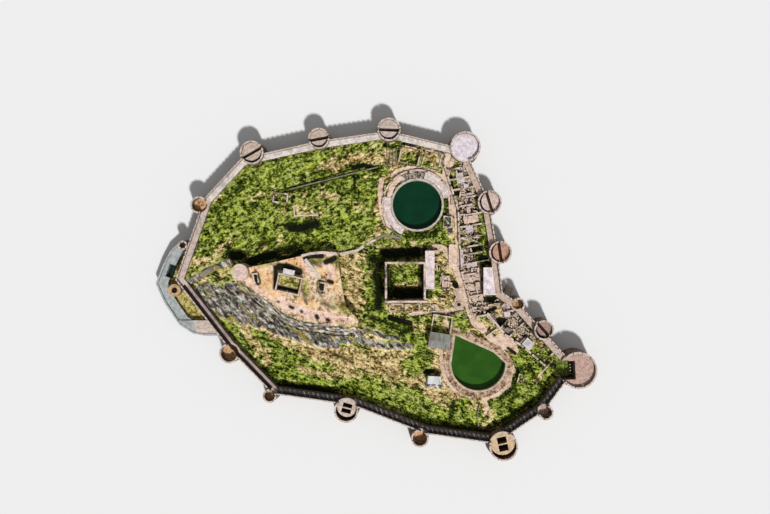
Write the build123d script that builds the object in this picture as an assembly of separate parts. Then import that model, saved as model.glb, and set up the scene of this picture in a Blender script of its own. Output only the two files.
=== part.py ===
"""Oval sea fort with round bastions, two water tanks, a citadel and roofless inner buildings.

A scale model at 1:10, in millimetres: 100 mm here is one metre of the real fort. X runs east, Y north,
and heights start at the low water line that the walls stand in.
"""
from math import atan2, degrees, pi
import os

from build123d import *

# Curtain wall
WALK_LEVEL = 1070.0
CURTAIN_THICK = 430.0
PARAPET_THICK = 80.0
PARAPET_HIGH = 220.0
CRENEL_PITCH = 300.0
CRENEL_WIDE = 90.0
CRENEL_DEEP = 90.0

# Round bastions
DRUM_SIDES = 32
DRUM_SPREAD = 60.0
PLATFORM_RISE = 140.0
RING_THICK = 110.0
RING_HIGH = 200.0
SLIT_WIDE = 45.0
SLIT_PITCH = 600.0
TRENCH_WIDE = 190.0
STEP_WIDE = 150.0
GALLERY_WIDE = 230.0
LOW_FLOOR = 870.0
PIT_LONG = 600.0
PIT_MARGIN = 500.0
PIT_GAP = 80.0
PIT_FLOOR = 620.0
COURT_LONG = 1180.0
COURT_WIDE = 1065.0
COURT_POST_SIDE = 60.0
COURT_POST_HIGH = 260.0
COURT_POST_PITCH = 190.0

# Gate in the east wall, and its landing steps
GATE_SHIFT = 420.0
GATE_WIDE = 340.0
GATE_SPRING = 300.0
STEP_COUNT = 12
STEP_TREAD = 36.0
LANDING_LONG = 220.0
LANDING_WIDE = 460.0

# Ground inside the walls
NORTH_WARD = 800.0
SOUTH_WARD = 500.0
WARD_LINE = 800.0
RAMP_LONG = 1700.0
RAMP_WIDE = 560.0
RAMP_EAST = 4640.0

# Outwork below the west wall
OUTWORK_TOP = 730.0
OUTWORK_THICK = 110.0
OUTWORK_WALK = 620.0
OUTWORK_WALK_WIDE = 580.0
OUTWORK_COURT = 360.0
OUTWORK_TOWER_RADIUS = 400.0
OUTWORK_TOWER_TOP = 880.0
OUTWORK_WELL_RADIUS = 190.0
OUTWORK_PLATFORM = 690.0
POOL_LONG = 860.0
POOL_WIDE = 420.0
POOL_DEEP = 220.0

# Citadel on its knoll
CITADEL_LEVEL = 1500.0
KNOLL_ROCK_FALL = Vector(-260, -1050)
KNOLL_WALL_FALL = Vector(0, 70)
KNOLL_RIDGE = -1200.0
KERB_THICK = 90.0
KERB_HIGH = 90.0
KERB_SOUTH = -800.0
CITADEL_TURRET_RADIUS = 520.0
CITADEL_TURRET_TOP = 2050.0
HOUSE_LONG = 1560.0
HOUSE_WIDE = 1150.0
HOUSE_HIGH = 340.0
HOUSE_THICK = 90.0
HOUSE_TURN = -12.0
HOUSE_DOOR = 120.0
PORCH_LONG = 720.0
PORCH_WIDE = 330.0
PORCH_HIGH = 260.0
PORCH_SLAB = 25.0
POST_SIDE = 32.0
STAIR_COUNT = 10
STAIR_WIDE = 190.0
STAIR_HIGH = 120.0

# Water tanks
TANK_LINING = 130.0
TANK_COPING = 25.0
ROUND_TANK_RADIUS = 1570.0
ROUND_TANK_DEEP = 560.0
RING_WALL_RADIUS = 2250.0
RING_WALL_THICK = 80.0
RING_WALL_HIGH = 190.0
RING_WALL_DOOR = 150.0
DROP_TANK_RADIUS = 1740.0
DROP_TANK_DEEP = 400.0
DROP_TANK_PAVING = 350.0
PAVING_HIGH = 35.0
GALLERY_ROOF_HIGH = 130.0
PAVING_NEAR = 1720.0
PAVING_FAR = 2150.0

# Buildings in the wards
STREET_WALL_HIGH = 320.0
STREET_WALL_THICK = 80.0
ROOM_WALL_HIGH = 270.0
ROOM_WALL_THICK = 70.0
ROOM_PITCH = 640.0
ROOM_DOOR = 150.0
ROOM_DEEP = 620.0
ROOM_TURN = 10.0
LANE_ROOM_TURN = 44.0
GATEHOUSE_WALL = 110.0
GATEHOUSE_SLAB = 60.0
GATEHOUSE_DOOR = 220.0
PALACE_LONG = 2565.0
PALACE_WIDE = 2560.0
PALACE_HIGH = 1200.0
PALACE_THICK = 130.0
STOREYS = 3
WINDOW_WIDE = 110.0
WINDOW_HIGH = 190.0
WINDOW_PITCH = 420.0
TERRACE_LONG = 2435.0
TERRACE_WIDE = 585.0
TERRACE_HIGH = 400.0
TERRACE_WALL = 80.0
TERRACE_SLAB = 50.0
TERRACE_BAY = 405.0
TERRACE_ARCH = 200.0
STUB_LONG = 250.0
STUB_WIDE = 60.0
HALL_LONG = 1290.0
HALL_WIDE = 920.0
HALL_HIGH = 560.0
HALL_THICK = 80.0
HALL_SLAB = 30.0
HALL_EAVES = 40.0
HALL_TURN = -9.0
HALL_RISE = 60.0
HALL_DOOR = 180.0
COURT_WALL_HIGH = 260.0
COURT_WALL_LONG = 1150.0
SHED_LONG = 830.0
SHED_WIDE = 500.0
SHED_HIGH = 480.0
SHED_THICK = 30.0
SHED_ROOF = 15.0
SHED_TURN = -3.0
LANE_HOUSE_LONG = 620.0
LANE_HOUSE_WIDE = 560.0
LANE_HOUSE_HIGH = 330.0
LANE_HOUSE_TURN = -41.0
WELL_RADIUS = 190.0
WELL_BORE = 120.0
WELL_HIGH = 90.0
WELL_PAVING = 340.0
RUIN_THICK = 70.0
RUIN_DOOR = 130.0

# Corners of the curtain's outer face, clockwise from the north-west
CORNERS = [
    Vector(-11400, 3720), Vector(-9070, 6240), Vector(-4100, 7340), Vector(250, 7970),
    Vector(5040, 6820), Vector(6580, 3470), Vector(7110, 320), Vector(7430, -2240),
    Vector(8350, -2840), Vector(10020, -4690), Vector(12100, -6990), Vector(10050, -9770),
    Vector(6990, -11810), Vector(2580, -11180), Vector(-2020, -9390), Vector(-7090, -8660),
    Vector(-9830, -5830), Vector(-13230, -1450),
]

# Which runs of curtain make up each side, counted by the corner that a run starts from
SIDES = {
    "north": range(0, 4),
    "east": range(4, 8),
    "south_east": range(8, 12),
    "south": range(12, 15),
    "west": range(15, 18),
}
GATE_CORNER = 7

# Bastions by side: nearest corner, centre, radius at the top, and kind
BASTIONS = {
    "north": [
        (0, Vector(-11720, 3280), 540, "low"),
        (1, Vector(-8400, 6580), 750, "split"),
        (2, Vector(-4170, 7460), 670, "split"),
        (3, Vector(250, 8030), 740, "split"),
        (4, Vector(5070, 6950), 960, "gun"),
    ],
    "east": [
        (5, Vector(6600, 3450), 760, "split"),
        (6, Vector(7270, 290), 720, "split"),
        (8, Vector(8400, -2990), 430, "low"),
        (9, Vector(10020, -4610), 630, "split"),
    ],
    "south_east": [
        (10, Vector(12200, -7140), 1170, "court"),
        (11, Vector(10140, -9800), 480, "low"),
        (12, Vector(7470, -11940), 910, "pit"),
    ],
    "south_west": [
        (13, Vector(2200, -11420), 560, "low"),
        (14, Vector(-2440, -9670), 770, "pit"),
        (15, Vector(-7260, -8750), 440, "low"),
        (16, Vector(-9810, -6070), 630, "low"),
        (17, Vector(-12740, 740), 300, "low"),
    ],
}

# Outer line of the outwork, from north to south, closed well inside the curtain
OUTWORK = [
    Vector(-11000, 950), Vector(-10000, -5040), Vector(-11420, -5040), Vector(-12250, -4900),
    Vector(-13130, -4360), Vector(-14070, -2990), Vector(-14660, -1700), Vector(-14210, -520),
    Vector(-13720, 400), Vector(-13130, 950),
]
OUTWORK_TOWER_AT = Vector(-13420, -2120)
OUTWORK_PLATFORM_NORTH = -4060.0
POOL_AT = Vector(-13740, -900)

# Edge of the citadel platform, clockwise from its north-west corner
KNOLL = [
    Vector(-8725, -690), Vector(-6740, -280), Vector(-4970, 130), Vector(-2995, 240),
    Vector(-2885, -690), Vector(-2475, -3095), Vector(-1640, -3930), Vector(-1745, -4345),
    Vector(-3095, -4345), Vector(-5385, -3980), Vector(-6320, -3510), Vector(-7970, -2320),
    Vector(-9300, -1320),
]
CITADEL_TURRET_AT = Vector(-9015, -950)
HOUSE_AT = Vector(-6000, -1710)
PORCH_AT = Vector(-6000, -940)

# Line between the higher north ward and the lower south ward, from west to east
WARD_DIVIDE = [
    Vector(-14900, -3105), Vector(-12250, -1640), Vector(-10875, -880), Vector(-9615, -460),
    Vector(-9015, -950), Vector(-2995, 100), Vector(-1900, 240), Vector(-830, 890), Vector(-75, 1300),
    Vector(1150, 1050), Vector(1400, WARD_LINE), Vector(15000, WARD_LINE),
]

ROUND_TANK_AT = Vector(2060, 3320)
DROP_TANK_AT = Vector(6000, -6840)
DROP_TANK_TIP = Vector(4520, -5030)
DROP_TANK_BEND = Vector(6970, -6130)

# West face of the roofless rooms, along the street, from north to south
STREET = [
    Vector(3760, 5810), Vector(4360, 3910), Vector(4660, 2930), Vector(4730, WARD_LINE),
    Vector(5040, -130), Vector(4850, -890), Vector(5230, -2110), Vector(5490, -3000),
    Vector(5930, -4100),
]
LANE = [Vector(6510, -3740), Vector(7600, -4900), Vector(8910, -5800), Vector(10300, -7000)]

PALACE_AT = Vector(1280, -1590)
TERRACE_AT = Vector(PALACE_AT.X + (PALACE_LONG + TERRACE_WIDE) / 2, -820)
HALL_AT = Vector(3470, -5330)
SHED_AT = Vector(3130, -7830)
LANE_HOUSE_AT = Vector(9135, -5540)
WELL_AT = Vector(4740, -3035)
GATEHOUSE_WEST = 6250.0
GATEHOUSE_NORTH = -665.0
GATEHOUSE_SOUTH = -2410.0

# Small roofless buildings and cells: centre, size, turn, ground level and height
RUINS = [
    (Vector(1580, 6430), 1300, 1080, -13, NORTH_WARD, 420),
    (Vector(2980, 6130), 1150, 1220, -14, NORTH_WARD, 160),
    (Vector(-6640, 3750), 950, 640, -6, NORTH_WARD, 260),
    (Vector(3980, 2230), 560, 740, -4, NORTH_WARD, 240),
    (Vector(3900, -1665), 480, 880, 3, SOUTH_WARD, 220),
    (Vector(700, -3250), 880, 520, -2, SOUTH_WARD, 150),
    (Vector(1760, -3260), 940, 500, 2, SOUTH_WARD, 170),
    (Vector(2830, -3270), 900, 480, -3, SOUTH_WARD, 130),
    (Vector(8720, -7820), 420, 620, -14, SOUTH_WARD, 200),
    (Vector(-8095, -1320), 340, 620, 12, CITADEL_LEVEL, 130),
    (Vector(-3995, -1975), 500, 800, -8, CITADEL_LEVEL, 150),
]

# Free-standing walls in the wards: points along the middle, thickness, ground level and height
YARD_WALLS = [
    ([Vector(130, 6850), Vector(130, 5860)], 50, NORTH_WARD, 150),
    ([Vector(320, 6900), Vector(320, 5855)], 50, NORTH_WARD, 170),
    ([Vector(510, 6930), Vector(510, 5840)], 50, NORTH_WARD, 150),
    ([Vector(690, 6950), Vector(690, 5980)], 50, NORTH_WARD, 180),
    ([Vector(-6120, 4300), Vector(-445, 5730)], 60, NORTH_WARD, 160),
    ([Vector(4790, 5870), Vector(5550, 4230)], 190, NORTH_WARD, 150),
    ([Vector(-12330, -1490), Vector(-10955, -730)], 290, NORTH_WARD, 200),
    ([Vector(-1900, 345), Vector(-830, 995), Vector(-75, 1405), Vector(1120, 1155)], 160, NORTH_WARD, 70),
    ([Vector(-160, 2640), Vector(90, 1900), Vector(900, 1370)], 60, NORTH_WARD, 110),
    ([Vector(6090, -9425), Vector(5900, -10255), Vector(5995, -10865)], 60, SOUTH_WARD, 180),
    ([Vector(4420, -3560), Vector(5150, -3580), Vector(5250, -4330)], 45, SOUTH_WARD, 55),
    ([Vector(4400, -3660), Vector(4460, -4440), Vector(5170, -4440)], 45, SOUTH_WARD, 55),
]

STAIR_FOOT = Vector(-4080, -1320)
STAIR_HEAD = Vector(-5010, -125)

PLATFORM_LEVEL = WALK_LEVEL + PLATFORM_RISE
RING_TOP = PLATFORM_LEVEL + RING_HIGH
SKY = 3000.0
REACH = 30000.0


def inset(points, distance):
    """Corners of a clockwise outline, moved so that every side shifts inwards by a distance."""
    moved = []
    for before, corner, after in zip(points[-1:] + points[:-1], points, points[1:] + points[:1]):
        arriving = (corner - before).normalized()
        leaving = (after - corner).normalized()
        first, second = Vector(arriving.Y, -arriving.X), Vector(leaving.Y, -leaving.X)
        middle = (first + second).normalized()
        moved.append(corner + middle * (distance / middle.dot(first)))
    return moved


def outline(points):
    return make_face(Polyline(*[(point.X, point.Y) for point in points], close=True))


def prism(points, low, high):
    """Upright block on a plan outline."""
    return extrude(Pos(0, 0, low) * outline(points), high - low, dir=(0, 0, 1))


def drum(centre, radius, low, high, spread=0.0):
    """Round masonry laid in flat faces, with a foot that spreads wider than its top."""
    foot = Pos(centre.X, centre.Y, low) * RegularPolygon(radius + spread, DRUM_SIDES)
    crown = Pos(centre.X, centre.Y, high) * RegularPolygon(radius, DRUM_SIDES)
    return loft([foot.face(), crown.face()], ruled=True)


def block(centre, long, wide, low, high, turn=0.0):
    """Upright box, long along X before it is turned."""
    place = Pos(centre.X, centre.Y, low) * Rot(0, 0, turn)
    return place * Box(long, wide, high - low, align=(Align.CENTER, Align.CENTER, Align.MIN))


def wall_between(start, end, thick, low, high):
    """Straight wall whose centre line runs from one point to another."""
    middle, along = (start + end) * 0.5, end - start
    return block(middle, along.length, thick, low, high, degrees(atan2(along.Y, along.X)))


def shell(centre, long, wide, thick, low, high, turn=0.0):
    """Four walls round a rectangular room that is open above."""
    room = block(centre, long - 2 * thick, wide - 2 * thick, low, high, turn)
    return block(centre, long, wide, low, high, turn) - room


def heading(corner):
    """Direction of the wall as it passes a corner."""
    before, after = CORNERS[corner - 1], CORNERS[(corner + 1) % len(CORNERS)]
    arriving, leaving = (CORNERS[corner] - before).normalized(), (after - CORNERS[corner]).normalized()
    along = arriving + leaving
    return degrees(atan2(along.Y, along.X))


FORT = prism(CORNERS, 0, SKY)
BACK = inset(CORNERS, CURTAIN_THICK)
CREST = inset(CORNERS, PARAPET_THICK)
INSIDE_PARAPET = prism(CREST, 0, SKY)
ALL_BASTIONS = [bastion for side in BASTIONS.values() for bastion in side]
DRUMS = [drum(centre, radius, 0, SKY) for _, centre, radius, _ in ALL_BASTIONS]
SPREAD_DRUMS = [drum(centre, radius, 0, WALK_LEVEL, DRUM_SPREAD) for _, centre, radius, _ in ALL_BASTIONS]


def run(inner, start, low, high):
    """One straight run of wall between its outer face and an inner line."""
    end = (start + 1) % len(CORNERS)
    return prism([CORNERS[start], CORNERS[end], inner[end], inner[start]], low, high)


def gate_place():
    """Point on the outer face above the middle of the gate, and the wall's direction there."""
    start, end = CORNERS[GATE_CORNER], CORNERS[GATE_CORNER + 1]
    along = (end - start).normalized()
    return start + along * GATE_SHIFT, along


def gate_passage():
    """Arched way through the wall, from the landing to the ward."""
    face, along = gate_place()
    inward = Vector(along.Y, -along.X)
    middle = face + inward * (CURTAIN_THICK / 2)
    plane = Plane(origin=(middle.X, middle.Y, SOUTH_WARD), x_dir=along, z_dir=inward)
    arch = Pos(0, GATE_SPRING / 2) * Rectangle(GATE_WIDE, GATE_SPRING)
    arch += Pos(0, GATE_SPRING) * Circle(GATE_WIDE / 2)
    return extrude(plane * arch, CURTAIN_THICK, both=True)


def curtain(side):
    """Solid wall of one side up to its wall-walk, let in between the bastions."""
    body = run(BACK, SIDES[side][0], 0, WALK_LEVEL)
    body += [run(BACK, start, 0, WALK_LEVEL) for start in SIDES[side][1:]]
    body -= SPREAD_DRUMS
    if GATE_CORNER in SIDES[side]:
        body -= gate_passage()
    return body


def crenels(start):
    """Notches at an even pitch along the top of one run of parapet."""
    first, second = CORNERS[start], CORNERS[(start + 1) % len(CORNERS)]
    along = second - first
    count = int(along.length // CRENEL_PITCH)
    turn = degrees(atan2(along.Y, along.X))
    low, high = WALK_LEVEL + PARAPET_HIGH - CRENEL_DEEP, WALK_LEVEL + PARAPET_HIGH
    spots = [first + along * ((step + 0.5) / count) for step in range(count)]
    return [block(spot, CRENEL_WIDE, 3 * PARAPET_THICK, low, high, turn) for spot in spots]


def parapet(side):
    """Crenellated parapet on the outer edge of one side's wall-walk."""
    high = WALK_LEVEL + PARAPET_HIGH
    body = run(CREST, SIDES[side][0], WALK_LEVEL, high)
    body += [run(CREST, start, WALK_LEVEL, high) for start in SIDES[side][1:]]
    notches = [notch for start in SIDES[side] for notch in crenels(start)]
    return body - DRUMS - notches


def inward_from(corner):
    """Direction from a bastion towards the inside of the fort."""
    return Vector(0, -1).rotate(Axis.Z, heading(corner))


def crescent(centre, shift, radius, low):
    """Hollow inside the loopholed parapet, widest on the side that the shift points away from."""
    inside = radius - RING_THICK
    return drum(centre, inside, low, SKY) - drum(centre + shift, inside, low, SKY)


def trench(corner, centre, radius):
    """Sunk way that carries the wall-walk across a bastion's raised platform, and a step down beside it."""
    way = block(centre, 2 * radius + DRUM_SPREAD, TRENCH_WIDE, WALK_LEVEL, SKY, heading(corner))
    return [way, crescent(centre, inward_from(corner) * -STEP_WIDE, radius, WALK_LEVEL)]


def pits(corner, centre, radius):
    """Two sunk rooms one behind the other, and the gallery behind the seaward parapet."""
    inward = inward_from(corner)
    wide = radius - PIT_MARGIN
    apart = inward * ((wide + PIT_GAP) / 2)
    spots = [centre + inward * (GALLERY_WIDE / 2) + apart * side for side in (-1, 1)]
    rooms = [block(spot, PIT_LONG, wide, PIT_FLOOR, SKY, heading(corner)) for spot in spots]
    return [crescent(centre, inward * GALLERY_WIDE, radius, LOW_FLOOR)] + rooms


def court(corner, centre, radius):
    """Court let into the landward side of the largest bastion, down to the ward's ground."""
    spot = centre + inward_from(corner) * (radius + DRUM_SPREAD - COURT_WIDE / 2)
    return block(spot, COURT_LONG, COURT_WIDE, SOUTH_WARD, SKY, heading(corner))


def court_posts():
    """Row of posts across the open side of that court."""
    corner, centre, radius, _ = next(bastion for bastion in ALL_BASTIONS if bastion[3] == "court")
    middle = centre + inward_from(corner) * (radius - COURT_WIDE * 3 / 4)
    place = Pos(middle.X, middle.Y, SOUTH_WARD) * Rot(0, 0, heading(corner))
    align = (Align.CENTER, Align.CENTER, Align.MIN)
    post = Box(COURT_POST_SIDE, COURT_POST_SIDE, COURT_POST_HIGH, align=align)
    return [place * spot * post for spot in GridLocations(COURT_POST_PITCH, 1, 4, 1)]


def bastion(corner, centre, radius, kind):
    """Battered drum with the platform that its kind has."""
    top = WALK_LEVEL if kind == "low" else PLATFORM_LEVEL
    body = drum(centre, radius, 0, WALK_LEVEL, DRUM_SPREAD)
    if kind != "low":
        body += drum(centre, radius, WALK_LEVEL, top)
    if kind == "low":
        body -= drum(centre, radius - RING_THICK, LOW_FLOOR, SKY)
    if kind == "split":
        body -= trench(corner, centre, radius)
    if kind == "pit":
        body -= pits(corner, centre, radius)
    if kind == "court":
        body -= court(corner, centre, radius)
    return body


def ring_parapet(corner, centre, radius, kind):
    """Parapet round a bastion, in lengths between its upright loopholes."""
    low = WALK_LEVEL if kind == "low" else PLATFORM_LEVEL
    ring = drum(centre, radius, low, RING_TOP) - drum(centre, radius - RING_THICK, low, RING_TOP)
    if kind == "split":
        ring -= trench(corner, centre, radius)
    else:
        ring -= INSIDE_PARAPET
    count = max(6, round(2 * pi * radius / SLIT_PITCH))
    spots = PolarLocations(radius - RING_THICK / 2, count, start_angle=heading(corner) + 180 / count)
    slit = Box(3 * RING_THICK, SLIT_WIDE, RING_TOP - low, align=(Align.CENTER, Align.CENTER, Align.MIN))
    return ring - [Pos(centre.X, centre.Y, low) * spot * slit for spot in spots]


def group(parts):
    """Separate solids kept together in one piece."""
    return Compound([solid for part in parts for solid in part.solids()])


def gate_steps():
    """Landing before the gate, with steps down to the water."""
    face, along = gate_place()
    outward = Vector(-along.Y, along.X)
    rise = SOUTH_WARD / (STEP_COUNT + 1)
    profile = [(0, 0), (0, SOUTH_WARD), (LANDING_LONG, SOUTH_WARD)]
    for step in range(STEP_COUNT):
        near, height = LANDING_LONG + STEP_TREAD * step, SOUTH_WARD - rise * (step + 1)
        profile += [(near, height), (near + STEP_TREAD, height)]
    profile.append((LANDING_LONG + STEP_TREAD * STEP_COUNT, 0))
    plane = Plane(origin=(face.X, face.Y, 0), x_dir=outward, z_dir=outward.cross(Vector(0, 0, 1)))
    stair = extrude(plane * make_face(Polyline(*profile, close=True)), LANDING_WIDE / 2, both=True)
    return stair - SPREAD_DRUMS - FORT


def outwork_ring(near, far, low, high):
    """Band of the outwork between two distances from its outer line, outside the curtain."""
    band = prism(inset(OUTWORK, near), low, high)
    if far:
        band -= prism(inset(OUTWORK, far), low, high)
    return band - FORT - SPREAD_DRUMS


def outwork_tower_space():
    return drum(OUTWORK_TOWER_AT, OUTWORK_TOWER_RADIUS, 0, SKY)


def outwork_tower():
    shaft = drum(OUTWORK_TOWER_AT, OUTWORK_TOWER_RADIUS, 0, OUTWORK_TOWER_TOP)
    return shaft - drum(OUTWORK_TOWER_AT, OUTWORK_WELL_RADIUS, OUTWORK_COURT, OUTWORK_TOWER_TOP)


def outwork_platform_space():
    span = OUTWORK_PLATFORM_NORTH + REACH / 2
    return block(Vector(-12000, OUTWORK_PLATFORM_NORTH - span / 2), REACH / 4, span, 0, SKY)


def outwork_terrace():
    """Walk behind the outwork's wall, and the lower court with its pool."""
    walk = outwork_ring(OUTWORK_THICK, OUTWORK_THICK + OUTWORK_WALK_WIDE, 0, OUTWORK_WALK)
    floor = outwork_ring(OUTWORK_THICK + OUTWORK_WALK_WIDE, 0, 0, OUTWORK_COURT)
    pool = block(POOL_AT, POOL_LONG, POOL_WIDE, OUTWORK_COURT - POOL_DEEP, SKY, 70)
    return walk + floor - pool - outwork_tower_space() - outwork_platform_space()


def knoll_foot(point):
    """Rock falls away to the south-west, and a steep wall retains the north edge."""
    return point + (KNOLL_ROCK_FALL if point.Y < KNOLL_RIDGE else KNOLL_WALL_FALL)


def knoll():
    foot = outline([knoll_foot(point) for point in KNOLL])
    crown = Pos(0, 0, CITADEL_LEVEL) * outline(KNOLL)
    return loft([foot.face(), crown.face()], ruled=True)


KNOLL_ROCK = knoll()
CITADEL_TURRET = drum(CITADEL_TURRET_AT, CITADEL_TURRET_RADIUS, 0, CITADEL_TURRET_TOP, DRUM_SPREAD)


def drop_outline():
    """Pear-shaped plan: most of a circle, drawn out to a tip in the north-west."""
    west = DROP_TANK_AT - Vector(DROP_TANK_RADIUS, 0)
    east = DROP_TANK_AT + Vector(DROP_TANK_RADIUS, 0)
    round_side = ThreePointArc(west, DROP_TANK_AT - Vector(0, DROP_TANK_RADIUS), east)
    return make_face([round_side, Polyline(east, DROP_TANK_BEND, DROP_TANK_TIP, west)])


def ward(level, north, deep):
    """Ground inside the walls on one side of the dividing line, with its tank let in."""
    edge = REACH / 2 if north else -REACH / 2
    area = WARD_DIVIDE + [Vector(REACH / 2, edge), Vector(-REACH / 2, edge)]
    ground = prism(BACK, 0, level) & prism(area, 0, level)
    tank = round_tank if north else drop_tank
    return ground - SPREAD_DRUMS - KNOLL_ROCK - CITADEL_TURRET - tank(TANK_LINING, level - deep, level)


def round_tank(beyond, low, high):
    return drum(ROUND_TANK_AT, ROUND_TANK_RADIUS + beyond, low, high)


def drop_tank(beyond, low, high):
    face = drop_outline() if not beyond else offset(drop_outline(), beyond)
    return extrude(Pos(0, 0, low) * face, high - low, dir=(0, 0, 1))


def lining(tank, level, deep):
    """Masonry round a tank, standing a little proud of the ground as its coping."""
    return tank(TANK_LINING, level - deep, level + TANK_COPING) - tank(0, level - deep, level + TANK_COPING)


def tank_terrace(first, last, high):
    """Paved band beside the round tank, between two bearings."""
    top = NORTH_WARD + high
    band = drum(ROUND_TANK_AT, PAVING_FAR, NORTH_WARD, top)
    band -= drum(ROUND_TANK_AT, PAVING_NEAR, NORTH_WARD, top)
    reach = Vector(2 * PAVING_FAR, 0)
    rim = [ROUND_TANK_AT + reach.rotate(Axis.Z, bearing) for bearing in (last, (first + last) / 2, first)]
    return band & prism([ROUND_TANK_AT] + rim, NORTH_WARD, top)


def tank_paving():
    """Pale ring about the pear tank, and two parts of one about the round tank."""
    top = SOUTH_WARD + PAVING_HIGH
    ring = drop_tank(TANK_LINING + DROP_TANK_PAVING, SOUTH_WARD, top)
    ring -= drop_tank(TANK_LINING, SOUTH_WARD, top)
    ring -= [hall_space(), court_space()]
    return [ring, tank_terrace(14, 76, GALLERY_ROOF_HIGH), tank_terrace(166, 242, PAVING_HIGH)]


def ring_wall():
    """Broken wall that curves round the north of the round tank, with doorways at an even pitch."""
    low, high = NORTH_WARD, NORTH_WARD + RING_WALL_HIGH
    wall = drum(ROUND_TANK_AT, RING_WALL_RADIUS, low, high)
    wall -= drum(ROUND_TANK_AT, RING_WALL_RADIUS - RING_WALL_THICK, low, high)
    wall -= block(ROUND_TANK_AT - Vector(0, REACH / 2), REACH, REACH, low, high)
    door = Box(3 * RING_WALL_THICK, RING_WALL_DOOR, high - low, align=(Align.CENTER, Align.CENTER, Align.MIN))
    place = Pos(ROUND_TANK_AT.X, ROUND_TANK_AT.Y, low)
    return wall - [place * spot * door for spot in PolarLocations(RING_WALL_RADIUS, 12, start_angle=15)]


def level_at(point):
    """Height of the ground beside the street."""
    return NORTH_WARD if point.Y > WARD_LINE else SOUTH_WARD


def bays(line):
    """Start and end of each room's length of street wall, and the ground that it stands on."""
    for start, end in zip(line, line[1:]):
        count = max(1, round((end - start).length / ROOM_PITCH))
        for step in range(count):
            first = start + (end - start) * (step / count)
            last = start + (end - start) * ((step + 1) / count)
            yield first, last, level_at((first + last) * 0.5)


def bay_wall(first, last, low):
    """Street wall of one room, which stops short of the doorways at its ends."""
    trim = (last - first).normalized() * (ROOM_DOOR / 2)
    return wall_between(first + trim, last - trim, STREET_WALL_THICK, low, low + STREET_WALL_HIGH)


def room_wall(first, last, low, turn, clear):
    """Cross wall from the middle of a bay back to the curtain."""
    middle = (first + last) * 0.5
    align = (Align.MIN, Align.CENTER, Align.MIN)
    length = Box(REACH / 8, ROOM_WALL_THICK, ROOM_WALL_HIGH, align=align)
    wall = Pos(middle.X, middle.Y, low) * Rot(0, 0, turn) * length
    wall = wall & prism(BACK, low, low + ROOM_WALL_HIGH)
    return wall - SPREAD_DRUMS - clear


def back_wall(before, after):
    """Wall along the middle of the rooms, from one cross wall to the next."""
    reach = Vector(ROOM_DEEP, 0).rotate(Axis.Z, ROOM_TURN)
    first, last = (before[0] + before[1]) * 0.5 + reach, (after[0] + after[1]) * 0.5 + reach
    trim = (last - first).normalized() * (ROOM_WALL_THICK + ROOM_DOOR / 2)
    low = min(before[2], after[2])
    return wall_between(first + trim, last - trim, ROOM_WALL_THICK, low, low + ROOM_WALL_HIGH)


def wall_line(points, thick, low, high):
    """Free-standing wall that follows a line of points."""
    lengths = [wall_between(start, end, thick, low, low + high) for start, end in zip(points, points[1:])]
    joints = [drum(point, thick / 2, low, low + high) for point in points[1:-1]]
    return lengths[0] + lengths[1:] + joints if joints else lengths[0]


def gatehouse_space(inward, low, high):
    """Plan of the gatehouse, moved in from its free sides, up to the back of the curtain."""
    points = [
        Vector(GATEHOUSE_WEST + inward, GATEHOUSE_SOUTH + inward),
        Vector(GATEHOUSE_WEST + inward, GATEHOUSE_NORTH - inward),
        Vector(CORNERS[GATE_CORNER].X, GATEHOUSE_NORTH - inward),
        Vector(CORNERS[GATE_CORNER].X, GATEHOUSE_SOUTH + inward),
    ]
    return (prism(points, low, high) & prism(BACK, low, high)) - SPREAD_DRUMS


def gatehouse_walls():
    high = WALK_LEVEL - GATEHOUSE_SLAB
    walls = gatehouse_space(0, SOUTH_WARD, high) - gatehouse_space(GATEHOUSE_WALL, SOUTH_WARD, high)
    spot = Vector(GATEHOUSE_WEST, (GATEHOUSE_NORTH + GATEHOUSE_SOUTH) / 2)
    return walls - block(spot, 4 * GATEHOUSE_WALL, GATEHOUSE_DOOR, SOUTH_WARD, high - GATEHOUSE_DOOR)


def street_ramp():
    """Slope that takes the street from the north ward down to the south ward."""
    profile = [(0, SOUTH_WARD), (0, NORTH_WARD), (RAMP_LONG, SOUTH_WARD)]
    plane = Plane(origin=(RAMP_EAST, WARD_LINE, 0), x_dir=(0, -1, 0), z_dir=(-1, 0, 0))
    return extrude(plane * make_face(Polyline(*profile, close=True)), RAMP_WIDE)


def palace_walls(across):
    """Two facing walls of the roofless palace, with a row of windows on each storey."""
    low, high = SOUTH_WARD, SOUTH_WARD + PALACE_HIGH
    storey = PALACE_HIGH / STOREYS
    if across:
        inner = block(PALACE_AT, PALACE_LONG, PALACE_WIDE - 2 * PALACE_THICK, low, high)
        walls = inner - block(PALACE_AT, PALACE_LONG - 2 * PALACE_THICK, PALACE_WIDE, low, high)
    else:
        walls = block(PALACE_AT, PALACE_LONG, PALACE_WIDE, low, high)
        walls -= block(PALACE_AT, PALACE_LONG, PALACE_WIDE - 2 * PALACE_THICK, low, high)
    span = PALACE_WIDE if across else PALACE_LONG
    count = int((span - 2 * WINDOW_PITCH) // WINDOW_PITCH) + 1
    middle = (PALACE_AT.X, PALACE_AT.Y, low + PALACE_HIGH / 2)
    plane = Plane(middle, x_dir=(0, 1, 0) if across else (-1, 0, 0), z_dir=(1, 0, 0) if across else (0, 1, 0))
    window = Box(WINDOW_WIDE, WINDOW_HIGH, PALACE_LONG + PALACE_WIDE)
    spots = GridLocations(WINDOW_PITCH, storey, count, STOREYS)
    return walls - [plane.location * spot * window for spot in spots]


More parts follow.
